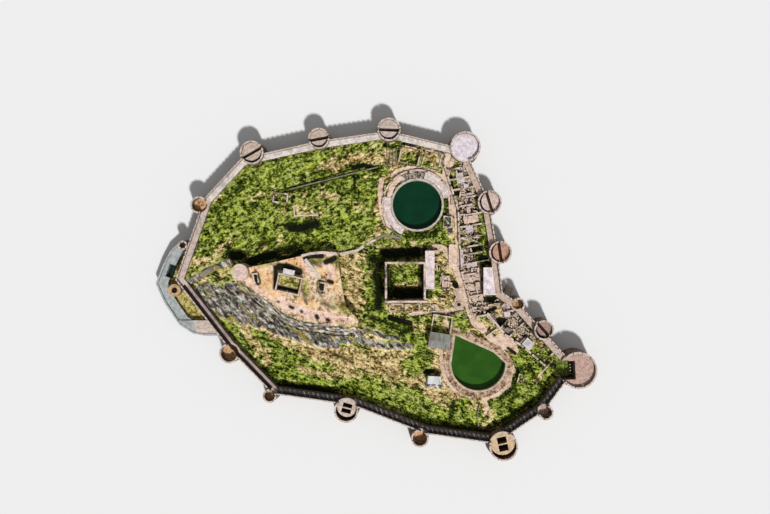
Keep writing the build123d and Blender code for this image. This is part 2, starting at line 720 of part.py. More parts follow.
def terrace_walls():
    """Long low building with arches to the street side and stubs of a fallen arcade."""
    low, high = SOUTH_WARD, SOUTH_WARD + TERRACE_HIGH
    walls = shell(TERRACE_AT, TERRACE_WIDE, TERRACE_LONG, TERRACE_WALL, low, high)
    east = TERRACE_AT + Vector(TERRACE_WIDE / 2, 0)
    count = int(TERRACE_LONG // TERRACE_BAY)
    spots = [east + Vector(0, (step - (count - 1) / 2) * TERRACE_BAY) for step in range(count)]
    walls -= [block(spot, 3 * TERRACE_WALL, TERRACE_ARCH, low, high - TERRACE_WALL) for spot in spots]
    stubs = [spot + Vector(STUB_LONG / 2, TERRACE_BAY / 2) for spot in spots[count // 2:]]
    return walls + [block(stub, STUB_LONG, STUB_WIDE, low, low + TERRACE_HIGH / 2) for stub in stubs]


def hall_walls():
    low, high = SOUTH_WARD, SOUTH_WARD + HALL_HIGH
    walls = shell(HALL_AT, HALL_LONG, HALL_WIDE, HALL_THICK, low, high, HALL_TURN)
    north = Vector(0, HALL_WIDE / 2).rotate(Axis.Z, HALL_TURN)
    return walls - block(HALL_AT + north, HALL_DOOR, 4 * HALL_THICK, low, low + 2 * HALL_DOOR, HALL_TURN)


def hall_roof():
    """Low pitched roof with small eaves."""
    half = HALL_WIDE / 2 + HALL_EAVES
    low = SOUTH_WARD + HALL_HIGH
    profile = [(-half, low), (-half, low + HALL_SLAB), (0, low + HALL_SLAB + HALL_RISE)]
    profile += [(half, low + HALL_SLAB), (half, low)]
    place = Pos(HALL_AT.X, HALL_AT.Y, 0) * Rot(0, 0, HALL_TURN)
    face = Plane.YZ * make_face(Polyline(*profile, close=True))
    return place * extrude(face, HALL_LONG / 2 + HALL_EAVES, both=True)


def court_centre():
    return HALL_AT + Vector(0, (HALL_WIDE + COURT_WALL_LONG) / 2).rotate(Axis.Z, HALL_TURN)


def hall_space():
    return block(HALL_AT, HALL_LONG, HALL_WIDE, 0, SKY, HALL_TURN)


def court_space():
    return block(court_centre(), HALL_LONG, COURT_WALL_LONG, 0, SKY, HALL_TURN)


def court_walls():
    """Walled court on the north side of the hall, open to it."""
    low, high = SOUTH_WARD, SOUTH_WARD + COURT_WALL_HIGH
    walls = shell(court_centre(), HALL_LONG, COURT_WALL_LONG, RUIN_THICK, low, high, HALL_TURN)
    south = HALL_AT + Vector(0, HALL_WIDE / 2).rotate(Axis.Z, HALL_TURN)
    room = HALL_LONG - 2 * RUIN_THICK
    return walls - block(south, room, 4 * RUIN_THICK, low, high, HALL_TURN)


def shed_walls():
    low, high = SOUTH_WARD, SOUTH_WARD + SHED_HIGH
    walls = shell(SHED_AT, SHED_LONG, SHED_WIDE, SHED_THICK, low, high, SHED_TURN)
    north = SHED_AT + Vector(0, SHED_WIDE / 2)
    return walls - block(north, SHED_LONG / 2, 4 * SHED_THICK, low, high - SHED_THICK, SHED_TURN)


def lane_house_walls():
    low, high = SOUTH_WARD, SOUTH_WARD + LANE_HOUSE_HIGH
    walls = shell(LANE_HOUSE_AT, LANE_HOUSE_LONG, LANE_HOUSE_WIDE, RUIN_THICK, low, high, LANE_HOUSE_TURN)
    side = LANE_HOUSE_AT + Vector(0, -LANE_HOUSE_WIDE / 2).rotate(Axis.Z, LANE_HOUSE_TURN)
    return walls - block(side, RUIN_DOOR, 4 * RUIN_THICK, low, low + 2 * RUIN_DOOR, LANE_HOUSE_TURN)


def ruin(centre, long, wide, turn, low, high):
    """Roofless room with a doorway in its south wall."""
    south = centre + Vector(0, -wide / 2).rotate(Axis.Z, turn)
    door = block(south, RUIN_DOOR, 4 * RUIN_THICK, low, low + high, turn)
    return shell(centre, long, wide, RUIN_THICK, low, low + high, turn) - door


def citadel_kerb():
    """Low wall on the retained north edge of the citadel platform."""
    low, high = CITADEL_LEVEL, CITADEL_LEVEL + KERB_HIGH
    edge = prism(KNOLL, low, high) - prism(inset(KNOLL, KERB_THICK), low, high)
    north = block(Vector(KNOLL[0].X, KERB_SOUTH + REACH / 2), REACH, REACH, low, high)
    return (edge & north) - CITADEL_TURRET


def citadel_stair():
    """Shallow flight of steps across the platform, up to its north edge."""
    along = STAIR_HEAD - STAIR_FOOT
    tread, rise = along.length / STAIR_COUNT, STAIR_HIGH / STAIR_COUNT
    profile = [(0, 0)]
    for step in range(STAIR_COUNT):
        profile += [(tread * step, rise * (step + 1)), (tread * (step + 1), rise * (step + 1))]
    profile.append((along.length, 0))
    across = Vector(along.Y, -along.X).normalized()
    plane = Plane(origin=(STAIR_FOOT.X, STAIR_FOOT.Y, CITADEL_LEVEL), x_dir=along.normalized(), z_dir=across)
    return extrude(plane * make_face(Polyline(*profile, close=True)), STAIR_WIDE / 2, both=True)


def citadel_house():
    low, high = CITADEL_LEVEL, CITADEL_LEVEL + HOUSE_HIGH
    walls = shell(HOUSE_AT, HOUSE_LONG, HOUSE_WIDE, HOUSE_THICK, low, high, HOUSE_TURN)
    south = HOUSE_AT + Vector(0, -HOUSE_WIDE / 2).rotate(Axis.Z, HOUSE_TURN)
    return walls - block(south, HOUSE_DOOR, 4 * HOUSE_THICK, low, low + 2 * HOUSE_DOOR, HOUSE_TURN)


def citadel_porch():
    """Flat canopy on four posts, against the north wall of the house."""
    low, high = CITADEL_LEVEL, CITADEL_LEVEL + PORCH_HIGH
    slab = block(PORCH_AT, PORCH_LONG, PORCH_WIDE, high, high + PORCH_SLAB, HOUSE_TURN)
    spots = GridLocations(PORCH_LONG - 2 * POST_SIDE, PORCH_WIDE - 2 * POST_SIDE, 2, 2)
    place = Pos(PORCH_AT.X, PORCH_AT.Y, low) * Rot(0, 0, HOUSE_TURN)
    post = Box(POST_SIDE, POST_SIDE, PORCH_HIGH, align=(Align.CENTER, Align.CENTER, Align.MIN))
    return slab + [place * spot * post for spot in spots]


def well():
    """Low well head on a round paved apron."""
    head = drum(WELL_AT, WELL_RADIUS, SOUTH_WARD, SOUTH_WARD + WELL_HIGH)
    head += drum(WELL_AT, WELL_PAVING, SOUTH_WARD, SOUTH_WARD + PAVING_HIGH)
    return head - drum(WELL_AT, WELL_BORE, SOUTH_WARD, SOUTH_WARD + WELL_HIGH)


def build_pieces():
    """Every named piece of the fort."""
    parts = {}
    for side in SIDES:
        parts[f"curtain_{side}"] = group([curtain(side)])
        parts[f"parapet_{side}"] = group([parapet(side)])
    for side, members in BASTIONS.items():
        parts[f"bastions_{side}"] = group([bastion(*member) for member in members])
        parts[f"bastion_parapets_{side}"] = group([ring_parapet(*member) for member in members])
    parts["court_posts"] = group(court_posts())
    parts["gate_steps"] = gate_steps()
    parts["outwork_wall"] = outwork_ring(0, OUTWORK_THICK, 0, OUTWORK_TOP) - outwork_tower_space()
    parts["outwork_terrace"] = outwork_terrace()
    parts["outwork_tower"] = outwork_tower()
    parts["outwork_platform"] = outwork_ring(OUTWORK_THICK, 0, 0, OUTWORK_PLATFORM) & outwork_platform_space()
    parts["ward_north"] = ward(NORTH_WARD, True, ROUND_TANK_DEEP)
    parts["ward_south"] = ward(SOUTH_WARD, False, DROP_TANK_DEEP)
    parts["street_ramp"] = street_ramp()
    parts["citadel_knoll"] = KNOLL_ROCK - CITADEL_TURRET
    parts["citadel_turret"] = CITADEL_TURRET
    parts["citadel_kerb"] = group([citadel_kerb()])
    parts["citadel_stair"] = citadel_stair()
    parts["citadel_house"] = citadel_house()
    parts["citadel_porch"] = citadel_porch()
    parts["round_tank_lining"] = lining(round_tank, NORTH_WARD, ROUND_TANK_DEEP)
    parts["round_tank_ring_wall"] = group([ring_wall()])
    parts["pear_tank_lining"] = lining(drop_tank, SOUTH_WARD, DROP_TANK_DEEP)
    parts["tank_paving"] = group(tank_paving())
    parts["gatehouse_walls"] = gatehouse_walls()
    parts["gatehouse_roof"] = gatehouse_space(0, WALK_LEVEL - GATEHOUSE_SLAB, WALK_LEVEL)
    street = [bay_wall(*bay) for line in (STREET, LANE) for bay in bays(line)]
    parts["street_walls"] = group(street)
    lane_house = block(LANE_HOUSE_AT, LANE_HOUSE_LONG, LANE_HOUSE_WIDE, 0, SKY, LANE_HOUSE_TURN)
    north_ground = block(Vector(0, WARD_LINE + REACH / 2), REACH, REACH, 0, NORTH_WARD)
    yard_walls = [wall_line(*line) for line in YARD_WALLS]
    clear = street + yard_walls + [gatehouse_space(0, 0, SKY), lane_house, gate_passage()]
    rooms = [room_wall(*bay, ROOM_TURN, clear) for bay in bays(STREET)]
    rooms += [room_wall(*bay, LANE_ROOM_TURN, clear) for bay in bays(LANE)]
    rows = list(bays(STREET))
    rooms += [back_wall(*pair) - clear for pair in zip(rows, rows[1:]) if pair[0][2] == pair[1][2]]
    parts["room_walls"] = group([wall - north_ground for wall in rooms])
    parts["yard_walls"] = group(yard_walls)
    parts["palace_walls_north_south"] = group([palace_walls(False)])
    parts["palace_walls_east_west"] = group([palace_walls(True)])
    parts["long_terrace_walls"] = terrace_walls()
    top = SOUTH_WARD + TERRACE_HIGH
    parts["long_terrace_roof"] = block(TERRACE_AT, TERRACE_WIDE, TERRACE_LONG, top, top + TERRACE_SLAB)
    parts["hall_walls"] = hall_walls()
    parts["hall_roof"] = hall_roof()
    parts["court_walls"] = court_walls()
    parts["shed_walls"] = shed_walls()
    eaves = SOUTH_WARD + SHED_HIGH
    parts["shed_roof"] = block(SHED_AT, SHED_LONG, SHED_WIDE, eaves, eaves + SHED_ROOF, SHED_TURN)
    parts["lane_house_walls"] = lane_house_walls()
    eaves = SOUTH_WARD + LANE_HOUSE_HIGH
    parts["lane_house_roof"] = block(
        LANE_HOUSE_AT, LANE_HOUSE_LONG, LANE_HOUSE_WIDE, eaves, eaves + SHED_THICK, LANE_HOUSE_TURN
    )
    parts["well"] = well()
    parts["yard_ruins"] = group([ruin(*place) for place in RUINS])
    return parts


os.makedirs("parts", exist_ok=True)
fort = build_pieces()
boxes = [piece.bounding_box() for piece in fort.values()]
west, east = min(box.min.X for box in boxes), max(box.max.X for box in boxes)
south, north = min(box.min.Y for box in boxes), max(box.max.Y for box in boxes)
to_origin = Pos(-(west + east) / 2, -(south + north) / 2, 0)
for name, piece in fort.items():
    export_step(to_origin * piece, f"parts/{name}.step")
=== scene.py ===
"""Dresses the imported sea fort: its masonry, ground, rock, ruins, paving, roofs and water."""

import math
import random

import bmesh
import bpy
from bpy.props import FloatProperty, FloatVectorProperty, IntProperty, PointerProperty
from mathutils import Matrix, Vector, noise
import numpy as np


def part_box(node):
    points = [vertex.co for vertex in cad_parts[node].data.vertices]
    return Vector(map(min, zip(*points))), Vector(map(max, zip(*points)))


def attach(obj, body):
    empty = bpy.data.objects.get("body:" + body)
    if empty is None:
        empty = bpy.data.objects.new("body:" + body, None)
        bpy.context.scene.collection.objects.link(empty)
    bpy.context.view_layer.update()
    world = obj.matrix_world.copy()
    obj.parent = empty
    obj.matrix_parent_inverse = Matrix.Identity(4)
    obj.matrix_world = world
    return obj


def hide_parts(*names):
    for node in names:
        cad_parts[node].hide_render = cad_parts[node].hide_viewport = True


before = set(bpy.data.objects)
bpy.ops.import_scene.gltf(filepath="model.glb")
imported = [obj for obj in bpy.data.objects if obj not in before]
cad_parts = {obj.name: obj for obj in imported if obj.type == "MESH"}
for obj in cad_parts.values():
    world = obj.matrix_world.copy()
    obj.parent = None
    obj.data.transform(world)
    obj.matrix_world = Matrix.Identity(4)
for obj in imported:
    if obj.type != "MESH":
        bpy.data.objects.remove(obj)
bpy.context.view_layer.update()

bl_info = {
    "name": "Sea Fort",
    "version": (1, 0, 0),
    "blender": (4, 5, 0),
    "location": "3D View > Sidebar > Sea Fort",
    "description": "Dresses the packed sea fort and sets its stage",
    "category": "Object",
}

# Levels of the ground, in metres on the model
NORTH_WARD = 0.8
SOUTH_WARD = 0.5
CITADEL = 1.5
WALL_WALK = 1.07
OUTWORK_COURT = 0.36

# Where the camera is above the water line, its angle across, and what one picture element spans at that line
EYE = Vector((0.615, 2.040, 43.7))
LENS_ANGLE = math.radians(59.6)
PICTURE_WIDE, PICTURE_HIGH = 770, 514
SPAN = 0.065

# The sun's bearing, height and width, and the width of the floor
SUN_BEARING, SUN_HEIGHT, SUN_WIDTH = math.radians(159), math.radians(47.5), math.radians(5)
FLOOR_WIDE = 160

# Distances within which corners are one and a corner is on a level, and the angle at which faces are one
MERGED = 1e-5
EVEN = 1e-4
FLAT = 0.01

# Share of the usual gloss that weathered stone and earth keep, and how a wave's scale follows from its pitch
DULL = 0.1
WAVE_SCALE = 0.314

# Direction of the rock's beds, width of mounds in the wards and on the plateau, and the crags' size and reach
STRATA = math.radians(48)
MOUND, PLATEAU_MOUND, PLATEAU_RELIEF = 0.34, 0.4, 0.025
CRAG_SIZE, CRAG_REACH = 0.42, 0.09

# Seed of the noise that roughens stones, which Blender would otherwise take from the clock
NOISE_SEED = 7

# How deep slabs and low walls sit in the ground, and how thick a sheet of water is
SUNK = 0.04
WATER_THICK = 0.012


def paint(red, green, blue):
    """A colour in steps of 0 to 255, as the linear one that Blender's sockets take."""
    steps = (red / 255, green / 255, blue / 255)
    return tuple(step / 12.92 if step < 0.04 else ((step + 0.055) / 1.055) ** 2.4 for step in steps)


def shade(tint, share):
    """A linear colour, made darker or paler."""
    return [min(1, share * part) for part in tint]


def plan(across, down, level):
    """Where a point of the picture, which looks straight down, meets a level of the model."""
    span = SPAN * (1 - level / EYE.z)
    return Vector((EYE.x + (across - PICTURE_WIDE / 2) * span, EYE.y + (PICTURE_HIGH / 2 - down) * span))


def line(level, numbers):
    """Points on a level, from numbers that say how far across and down each is in the picture."""
    return [plan(across, down, level) for across, down in zip(numbers[::2], numbers[1::2])]


# Marks on the ground, by level and kind: half width in metres, then across and down for each point it passes;
# two kinds are painted shade and painted shadow
MARKS = {
    (NORTH_WARD, "way"): [
        (0.17, 449, 150, 445, 172, 447, 184, 453, 197, 456, 206, 457.5, 222, 458, 242),
        (0.08, 388, 132, 404, 136, 420, 141, 445, 148),
        (0.13, 392, 176, 398, 171, 408, 168, 425, 170, 440, 176, 447, 186),
        (0.16, 382, 180, 380, 190, 381, 205, 384, 220, 390, 230),
        (0.10, 270, 157, 300, 149, 345, 139, 375, 135),
    ],
    (NORTH_WARD, "sand"): [
        (0.34, 318, 165, 340, 163, 360, 158, 384, 160), (0.24, 384, 152, 398, 168, 388, 178),
        (0.26, 404, 148, 417, 151), (0.50, 428, 152, 440, 160), (0.28, 192, 262, 206, 262),
        (0.20, 380, 190, 378, 215, 377, 236), (0.14, 222, 247, 232, 242),
        (0.30, 450, 198, 453, 214, 452, 235), (0.08, 293, 203, 298, 216, 318, 214),
        (0.14, 326, 196, 336, 196), (0.14, 258, 160, 300, 150, 345, 140, 380, 134),
        (0.10, 205, 214, 216, 196, 240, 170),
    ],
    (NORTH_WARD, "moss"): [
        (0.60, 232, 190, 262, 175, 300, 162, 320, 155), (0.90, 205, 228, 230, 215, 262, 222),
        (0.70, 300, 240, 335, 228, 365, 222), (0.50, 345, 185, 368, 190),
        (0.20, 460, 160, 467, 182, 475, 204), (0.10, 456, 188, 457, 200), (0.10, 462, 226, 468, 234),
        (0.12, 466, 204, 470, 206), (0.20, 443, 184, 446, 200, 445, 216, 439, 230),
        (0.22, 443, 236, 444, 237), (0.16, 479, 222, 482, 240),
    ],
    (NORTH_WARD, "rock"): [
        (0.30, 190, 283, 205, 275, 218, 268, 232, 263), (0.34, 196, 291, 210, 284, 224, 277, 234, 274),
        (0.30, 398, 178, 408, 173, 425, 172), (0.20, 448, 216, 450, 232), (0.25, 436, 146, 444, 162),
    ],
    (NORTH_WARD, "paved"): [
        (0.18, 451, 199, 452, 213), (0.16, 460, 166, 466, 200, 469, 240),
        (0.12, 468, 172, 473, 205, 476, 240), (0.15, 389, 206, 389, 196, 393, 185, 400, 178),
        (0.12, 453, 160, 447, 176), (0.10, 459, 199, 464, 200),
    ],
    # Sharp near-black patches of painted shadow that walls, houses and the knoll cast
    (NORTH_WARD, "pit"): [
        (0.07, 451, 176, 453, 192), (0.14, 466, 189, 470, 191), (0.12, 454, 194, 464, 193),
        (0.12, 458, 211, 467, 209), (0.10, 462, 205, 467, 204), (0.14, 461, 220, 465, 219),
        (0.10, 468, 234, 472, 233), (0.05, 460, 184, 468, 182), (0.16, 462, 208, 470, 210),
        (0.12, 472, 208, 478, 212), (0.06, 459, 213.5, 478, 213), (0.10, 473, 224, 479, 225),
        (0.16, 461, 228, 464, 230), (0.10, 460, 236, 464, 239), (0.10, 466, 238, 478, 240),
        (0.08, 478, 196, 480, 212), (0.24, 250, 262, 262, 257, 274, 254),
        (0.14, 279, 262, 290, 258, 302, 251), (0.26, 233, 256, 240, 256),
        (0.14, 353, 168, 364, 165, 376, 169), (0.04, 282, 190, 302, 184, 330, 176, 352, 169),
        (0.05, 354, 176, 354.5, 190), (0.18, 291, 229, 302, 228, 316, 224),
    ],
    # Soft dark patches of painted shade and shadow
    (NORTH_WARD, "deep"): [
        (0.26, 462, 168, 470, 200, 474, 240), (0.26, 228, 254, 244, 256),
        (0.20, 246, 262, 262, 258, 276, 256), (0.20, 278, 250, 296, 246),
        (0.34, 290, 226, 302, 228, 316, 224), (0.20, 306, 222, 312, 220), (0.16, 252, 206, 258, 205),
        (0.10, 284, 193, 310, 185, 340, 177, 352, 173), (0.18, 352, 166, 364, 166, 378, 168),
        (0.10, 354, 176, 355, 190), (0.10, 212, 212, 224, 200, 230, 196), (0.14, 197, 226, 195, 240),
        (0.12, 240, 184, 236, 192), (0.16, 260, 245, 272, 240), (0.12, 318, 172, 330, 170),
    ],
    (SOUTH_WARD, "way"): [
        (0.20, 434, 244, 445, 250, 453, 262, 459, 277, 464, 293, 469, 309, 474, 322),
        (0.22, 474, 322, 485, 331, 497, 346, 508, 360, 512, 371),
        (0.13, 412, 314, 430, 311, 447, 311, 462, 308), (0.09, 389, 304, 405, 302, 425, 303, 438, 308),
        (0.05, 446, 313, 447, 322, 449, 331, 457, 334),
        (0.13, 441, 350, 442, 366, 446, 380, 455, 390, 470, 397), (0.09, 485, 400, 488, 407, 484, 416),
        (0.05, 538, 377, 548, 366, 553, 360), (0.12, 503, 333, 513, 341, 517, 352),
        (0.12, 512, 371, 509, 385, 497, 395, 484, 399),
    ],
    (SOUTH_WARD, "sand"): [
        (0.46, 250, 318, 266, 326, 287, 335, 312, 345, 345, 353, 372, 361, 398, 372),
        (0.40, 318, 352, 352, 359), (0.30, 398, 372, 416, 381, 436, 392),
        (0.34, 246, 330, 254, 340, 264, 350), (0.20, 300, 366, 330, 376, 352, 372),
        (0.26, 436, 398, 450, 410), (0.40, 348, 262, 356, 280, 352, 302), (0.20, 376, 262, 372, 275),
        (0.24, 390, 306, 420, 306, 446, 302), (0.30, 444, 262, 452, 290, 458, 300),
        (0.55, 478, 330, 494, 342, 508, 348), (0.26, 500, 312, 520, 332), (0.20, 479, 268, 480, 292),
        (0.20, 482, 402, 490, 412), (0.26, 535, 385, 545, 372), (0.22, 372, 345, 392, 352, 412, 355),
        (0.16, 345, 330, 362, 330, 372, 336), (0.34, 436, 250, 444, 272, 446, 300),
        (0.40, 440, 350, 441, 375, 455, 392), (0.30, 300, 396, 345, 398),
    ],
    (SOUTH_WARD, "moss"): [
        (0.24, 192, 296, 204, 308, 222, 326), (0.26, 224, 326, 238, 336, 244, 348),
        (0.22, 256, 334, 268, 345, 288, 358, 318, 370), (0.40, 236, 346, 256, 370, 280, 384),
        (0.55, 280, 372, 320, 388, 365, 390, 400, 400, 440, 414, 470, 420), (0.16, 250, 304, 262, 312),
        (0.07, 322, 343, 345, 347), (0.45, 375, 260, 378, 290, 380, 320, 395, 330),
        (0.55, 400, 335, 420, 352, 412, 366), (0.40, 396, 276, 418, 272), (0.22, 438, 270, 439, 286),
        (0.16, 446, 249, 446, 254), (0.22, 452, 318, 463, 324), (0.80, 520, 366, 545, 362, 562, 372),
        (0.80, 500, 405, 520, 390, 535, 395, 550, 380), (0.16, 482, 268, 480, 292),
        (0.26, 478, 252, 481, 268),
    ],
    (SOUTH_WARD, "rock"): [
        (0.62, 206, 292, 222, 296, 240, 306, 258, 318), (0.40, 212, 304, 230, 316, 246, 318),
        (0.40, 230, 288, 256, 305, 282, 322), (0.26, 300, 330, 330, 336, 360, 334),
        (0.16, 366, 330, 384, 336, 398, 338), (0.36, 258, 318, 280, 330, 310, 340, 335, 343),
        (0.20, 335, 340, 360, 341, 385, 346, 412, 346), (0.16, 508, 300, 520, 314),
        (0.20, 427, 384, 440, 386), (0.25, 468, 336, 485, 348), (0.20, 440, 312, 458, 312),
    ],
    (SOUTH_WARD, "paved"): [
        (0.16, 460, 252, 461, 268), (0.46, 470, 264, 476, 290, 482, 306), (0.20, 466, 246, 470, 262),
        (0.14, 500, 302, 512, 318, 526, 334), (0.12, 512, 303, 524, 318), (0.40, 468, 275, 477, 273),
        (0.28, 470, 287, 479, 285), (0.34, 474, 296, 481, 295), (0.30, 478, 308, 480, 305),
        (0.20, 443, 282, 448, 282), (0.24, 457, 291, 460, 297), (0.24, 456, 304, 462, 304),
        (0.36, 499, 340, 508, 345), (0.14, 520, 328, 524, 333),
    ],
    # Sharp near-black patches of painted shadow that walls and houses cast
    (SOUTH_WARD, "pit"): [
        (0.10, 464, 243, 467, 243), (0.16, 472, 243, 480, 243), (0.14, 473, 248, 480, 248),
        (0.07, 470, 254.5, 474, 254.5), (0.05, 466, 256, 480, 255), (0.14, 465, 258, 467, 268),
        (0.10, 465, 247.5, 479, 246.5), (0.08, 470, 286, 472, 291), (0.06, 472, 303, 476, 305),
        (0.20, 505, 296, 510, 299), (0.05, 469, 278, 476, 277), (0.10, 472, 260, 477, 262),
        (0.26, 482, 259, 491, 261), (0.12, 483, 266, 484.5, 292), (0.04, 460, 270, 480, 267.5),
        (0.05, 464, 275, 466, 279), (0.04, 467, 283, 476, 289.5), (0.06, 466, 290, 468, 296),
        (0.10, 477, 308, 482, 306), (0.12, 478, 312, 483, 313), (0.18, 483, 299, 499, 300),
        (0.18, 454, 283, 456, 286), (0.05, 442, 289, 447, 289), (0.13, 458.5, 304.5, 458.6, 304.6),
        (0.12, 488, 311, 495, 308), (0.30, 499, 322, 506, 323), (0.06, 488, 330, 490, 327),
        (0.10, 503, 292, 510, 296), (0.18, 523, 338, 527, 335.5), (0.05, 513, 338, 522, 347),
        (0.10, 508, 348, 515, 353), (0.20, 190, 296, 200, 306, 210, 320),
        (0.14, 212, 322, 226, 336, 232, 343), (0.10, 236, 352, 262, 379),
        (0.26, 286, 388, 318, 390, 342, 399), (0.20, 386, 254, 424, 251), (0.12, 386, 262, 387, 296),
        (0.24, 397, 295, 423, 294), (0.12, 423, 268, 424, 292), (0.16, 390, 318, 410, 323),
        (0.14, 425, 372, 432, 371),
    ],
    # Soft dark patches of painted shade and shadow
    (SOUTH_WARD, "deep"): [
        (0.20, 470, 250, 474, 262), (0.12, 482, 268, 486, 300), (0.16, 478, 308, 488, 318),
        (0.26, 506, 304, 518, 318, 530, 334), (0.34, 372, 258, 380, 262, 376, 275, 380, 290, 378, 306),
        (0.40, 386, 254, 420, 252), (0.36, 396, 292, 424, 292), (0.12, 390, 268, 391, 300),
        (0.22, 236, 362, 262, 382, 280, 386, 340, 396, 380, 412, 430, 426, 500, 432),
        (0.30, 505, 428, 530, 412, 556, 392, 566, 378), (0.18, 405, 322, 412, 328, 400, 334),
        (0.14, 428, 372, 440, 372), (0.20, 540, 360, 556, 366), (0.10, 476, 258, 479, 292),
        (0.16, 500, 400, 515, 385, 518, 368), (0.14, 370, 318, 384, 322, 396, 326),
        (0.12, 330, 352, 352, 362), (0.12, 454, 400, 450, 418), (0.12, 512, 374, 516, 392, 508, 408),
        (0.12, 528, 366, 540, 384, 548, 396), (0.14, 498, 424, 520, 410, 534, 398),
        (0.10, 548, 358, 562, 366),
    ],
    (CITADEL, "way"): [
        (0.12, 240, 275, 256, 287, 272, 299), (0.30, 280, 302, 296, 309, 314, 315, 332, 318),
        (0.14, 332, 318, 350, 319), (0.10, 302, 262, 308, 272, 314, 276),
        (0.20, 326, 264, 332, 270, 330, 278), (0.10, 302, 257, 310, 254, 322, 253, 336, 254),
    ],
    (CITADEL, "sand"): [
        (0.44, 292, 261, 302, 268), (0.60, 252, 275, 263, 280, 270, 290),
        (0.30, 262, 278, 266, 292, 288, 302), (0.34, 322, 270, 336, 276, 338, 296),
        (0.26, 300, 302, 312, 305),
    ],
    (CITADEL, "moss"): [
        (0.10, 250, 268, 264, 264, 270, 262), (0.36, 281, 279, 296, 282),
        (0.24, 310, 262, 322, 262, 334, 262), (0.16, 304, 284, 306, 296), (0.30, 336, 298, 348, 310),
        (0.16, 337, 260, 340, 276, 343, 294, 352, 308), (0.30, 342, 264, 344, 290),
        (0.16, 276, 303, 288, 300),
    ],
    (CITADEL, "rock"): [
        (0.45, 342, 258, 343, 290, 350, 322), (0.25, 250, 268, 306, 256, 340, 252),
    ],
    # Sharp near-black patches of painted shadow that the house, porch and kerb cast
    (CITADEL, "pit"): [
        (0.20, 256, 274.5, 258, 282), (0.06, 250, 275, 251, 277), (0.14, 275.5, 267, 275, 288),
        (0.24, 279, 266.5, 288, 267, 299, 271.5), (0.13, 276.5, 286.4, 297, 291.0),
        (0.045, 286.5, 281.6, 290.5, 282.4), (0.045, 293.8, 282.6, 296.5, 283.4),
        (0.03, 281.6, 279.0, 282.4, 279.4), (0.03, 285.4, 275.8, 286.4, 276.2),
        (0.16, 305, 257.5, 314, 256, 322, 256), (0.18, 326, 262, 335, 258), (0.14, 328.5, 281, 332, 282.5),
        (0.20, 320, 282.5, 322, 288), (0.10, 290, 306.5, 293, 308), (0.09, 301, 311, 302, 312),
        (0.13, 316.5, 316, 317.5, 318), (0.11, 327, 319.5, 329, 320.5), (0.07, 277.5, 301.5, 279, 302),
        (0.06, 305, 300, 307, 304),
    ],
    # Soft dark patches of painted shade and shadow
    (CITADEL, "deep"): [
        (0.16, 254, 274, 258, 283), (0.18, 319, 284, 322, 294), (0.12, 312, 262, 320, 266),
        (0.12, 322, 303, 334, 308), (0.10, 304, 295, 306, 301),
    ],
}

# Width over which the edge of each kind of mark fades
SOFT_EDGES = {"way": 0.12, "paved": 0.08, "sand": 0.55, "moss": 0.55, "rock": 0.35, "deep": 0.45, "pit": 0.12}

# Middles of the tanks, and the rings round them where the ground is kept flat
ROUND_TANK, PEAR_TANK = Vector((2.675, 5.360)), Vector((6.615, -4.800))
FLAT_RINGS = [(ROUND_TANK, 2.30), (PEAR_TANK, 2.25)]

# Water: radius in the round tank, radius and far corners in the pear tank, and where the pool lies
ROUND_WATER = 1.60
PEAR_WATER, PEAR_CORNERS = 1.76, ((5.125, -2.965), (7.595, -4.065))
POOL, POOL_HALF, POOL_TURN = Vector((-13.125, 1.140)), (0.40, 0.20), math.radians(70)
POOL_TINT = paint(22, 40, 34)

# Middles of the bastions, radii, tints of their floors, and whether these are flat, rough or grown, or sunk
# with painted shade below the walk
ROSE = paint(216, 182, 168)
PALE_LILAC = paint(255, 238, 245)
SAND_RED = paint(230, 182, 136)
BUFF = paint(222, 200, 182)
BASTION_FLOORS = [
    ((-11.105, 5.320), 0.54, SAND_RED, "rough"), ((-7.785, 8.620), 0.75, BUFF, "sunk"),
    ((-3.555, 9.500), 0.67, BUFF, "sunk"), ((0.865, 10.070), 0.74, paint(222, 202, 192), "sunk"),
    ((5.685, 8.990), 0.96, PALE_LILAC, "flat"), ((7.215, 5.490), 0.76, paint(236, 208, 196), "sunk"),
    ((7.885, 2.330), 0.72, paint(212, 166, 142), "sunk"), ((9.015, -0.950), 0.43, SAND_RED, "rough"),
    ((10.635, -2.570), 0.63, paint(186, 156, 142), "sunk"), ((12.815, -5.100), 1.17, ROSE, "sunk"),
    ((10.755, -7.760), 0.48, ROSE, "rough"), ((8.085, -9.900), 0.91, paint(240, 208, 172), "sunk"),
    ((2.815, -9.380), 0.56, SAND_RED, "rough"), ((-1.825, -7.630), 0.77, paint(232, 212, 198), "sunk"),
    ((-6.645, -6.710), 0.44, paint(206, 172, 130), "rough"), ((-9.195, -4.030), 0.63, SAND_RED, "rough"),
    ((-12.125, 2.780), 0.30, BUFF, "rough"), ((12.05, -5.05), 0.66, paint(116, 130, 54), "grown"),
]
# The well's mouth, painted dark as shade
WELL_MOUTH_SHADE = [((5.355, -0.995), 0.21, paint(70, 58, 50), "flat")]
YARD_FLOOR = [((-0.35, 0.95), 2.3, paint(240, 220, 212), "flat")]

# Broken floors: share of specks, places of dark and tint on the ramp, and how dark and pale it gets
BROKEN_FLOORS = {"rough": (0.55, 0.42, 0.49, 0.25, 1.15), "grown": (0.60, 0.44, 0.51, 0.15, 1.90)}

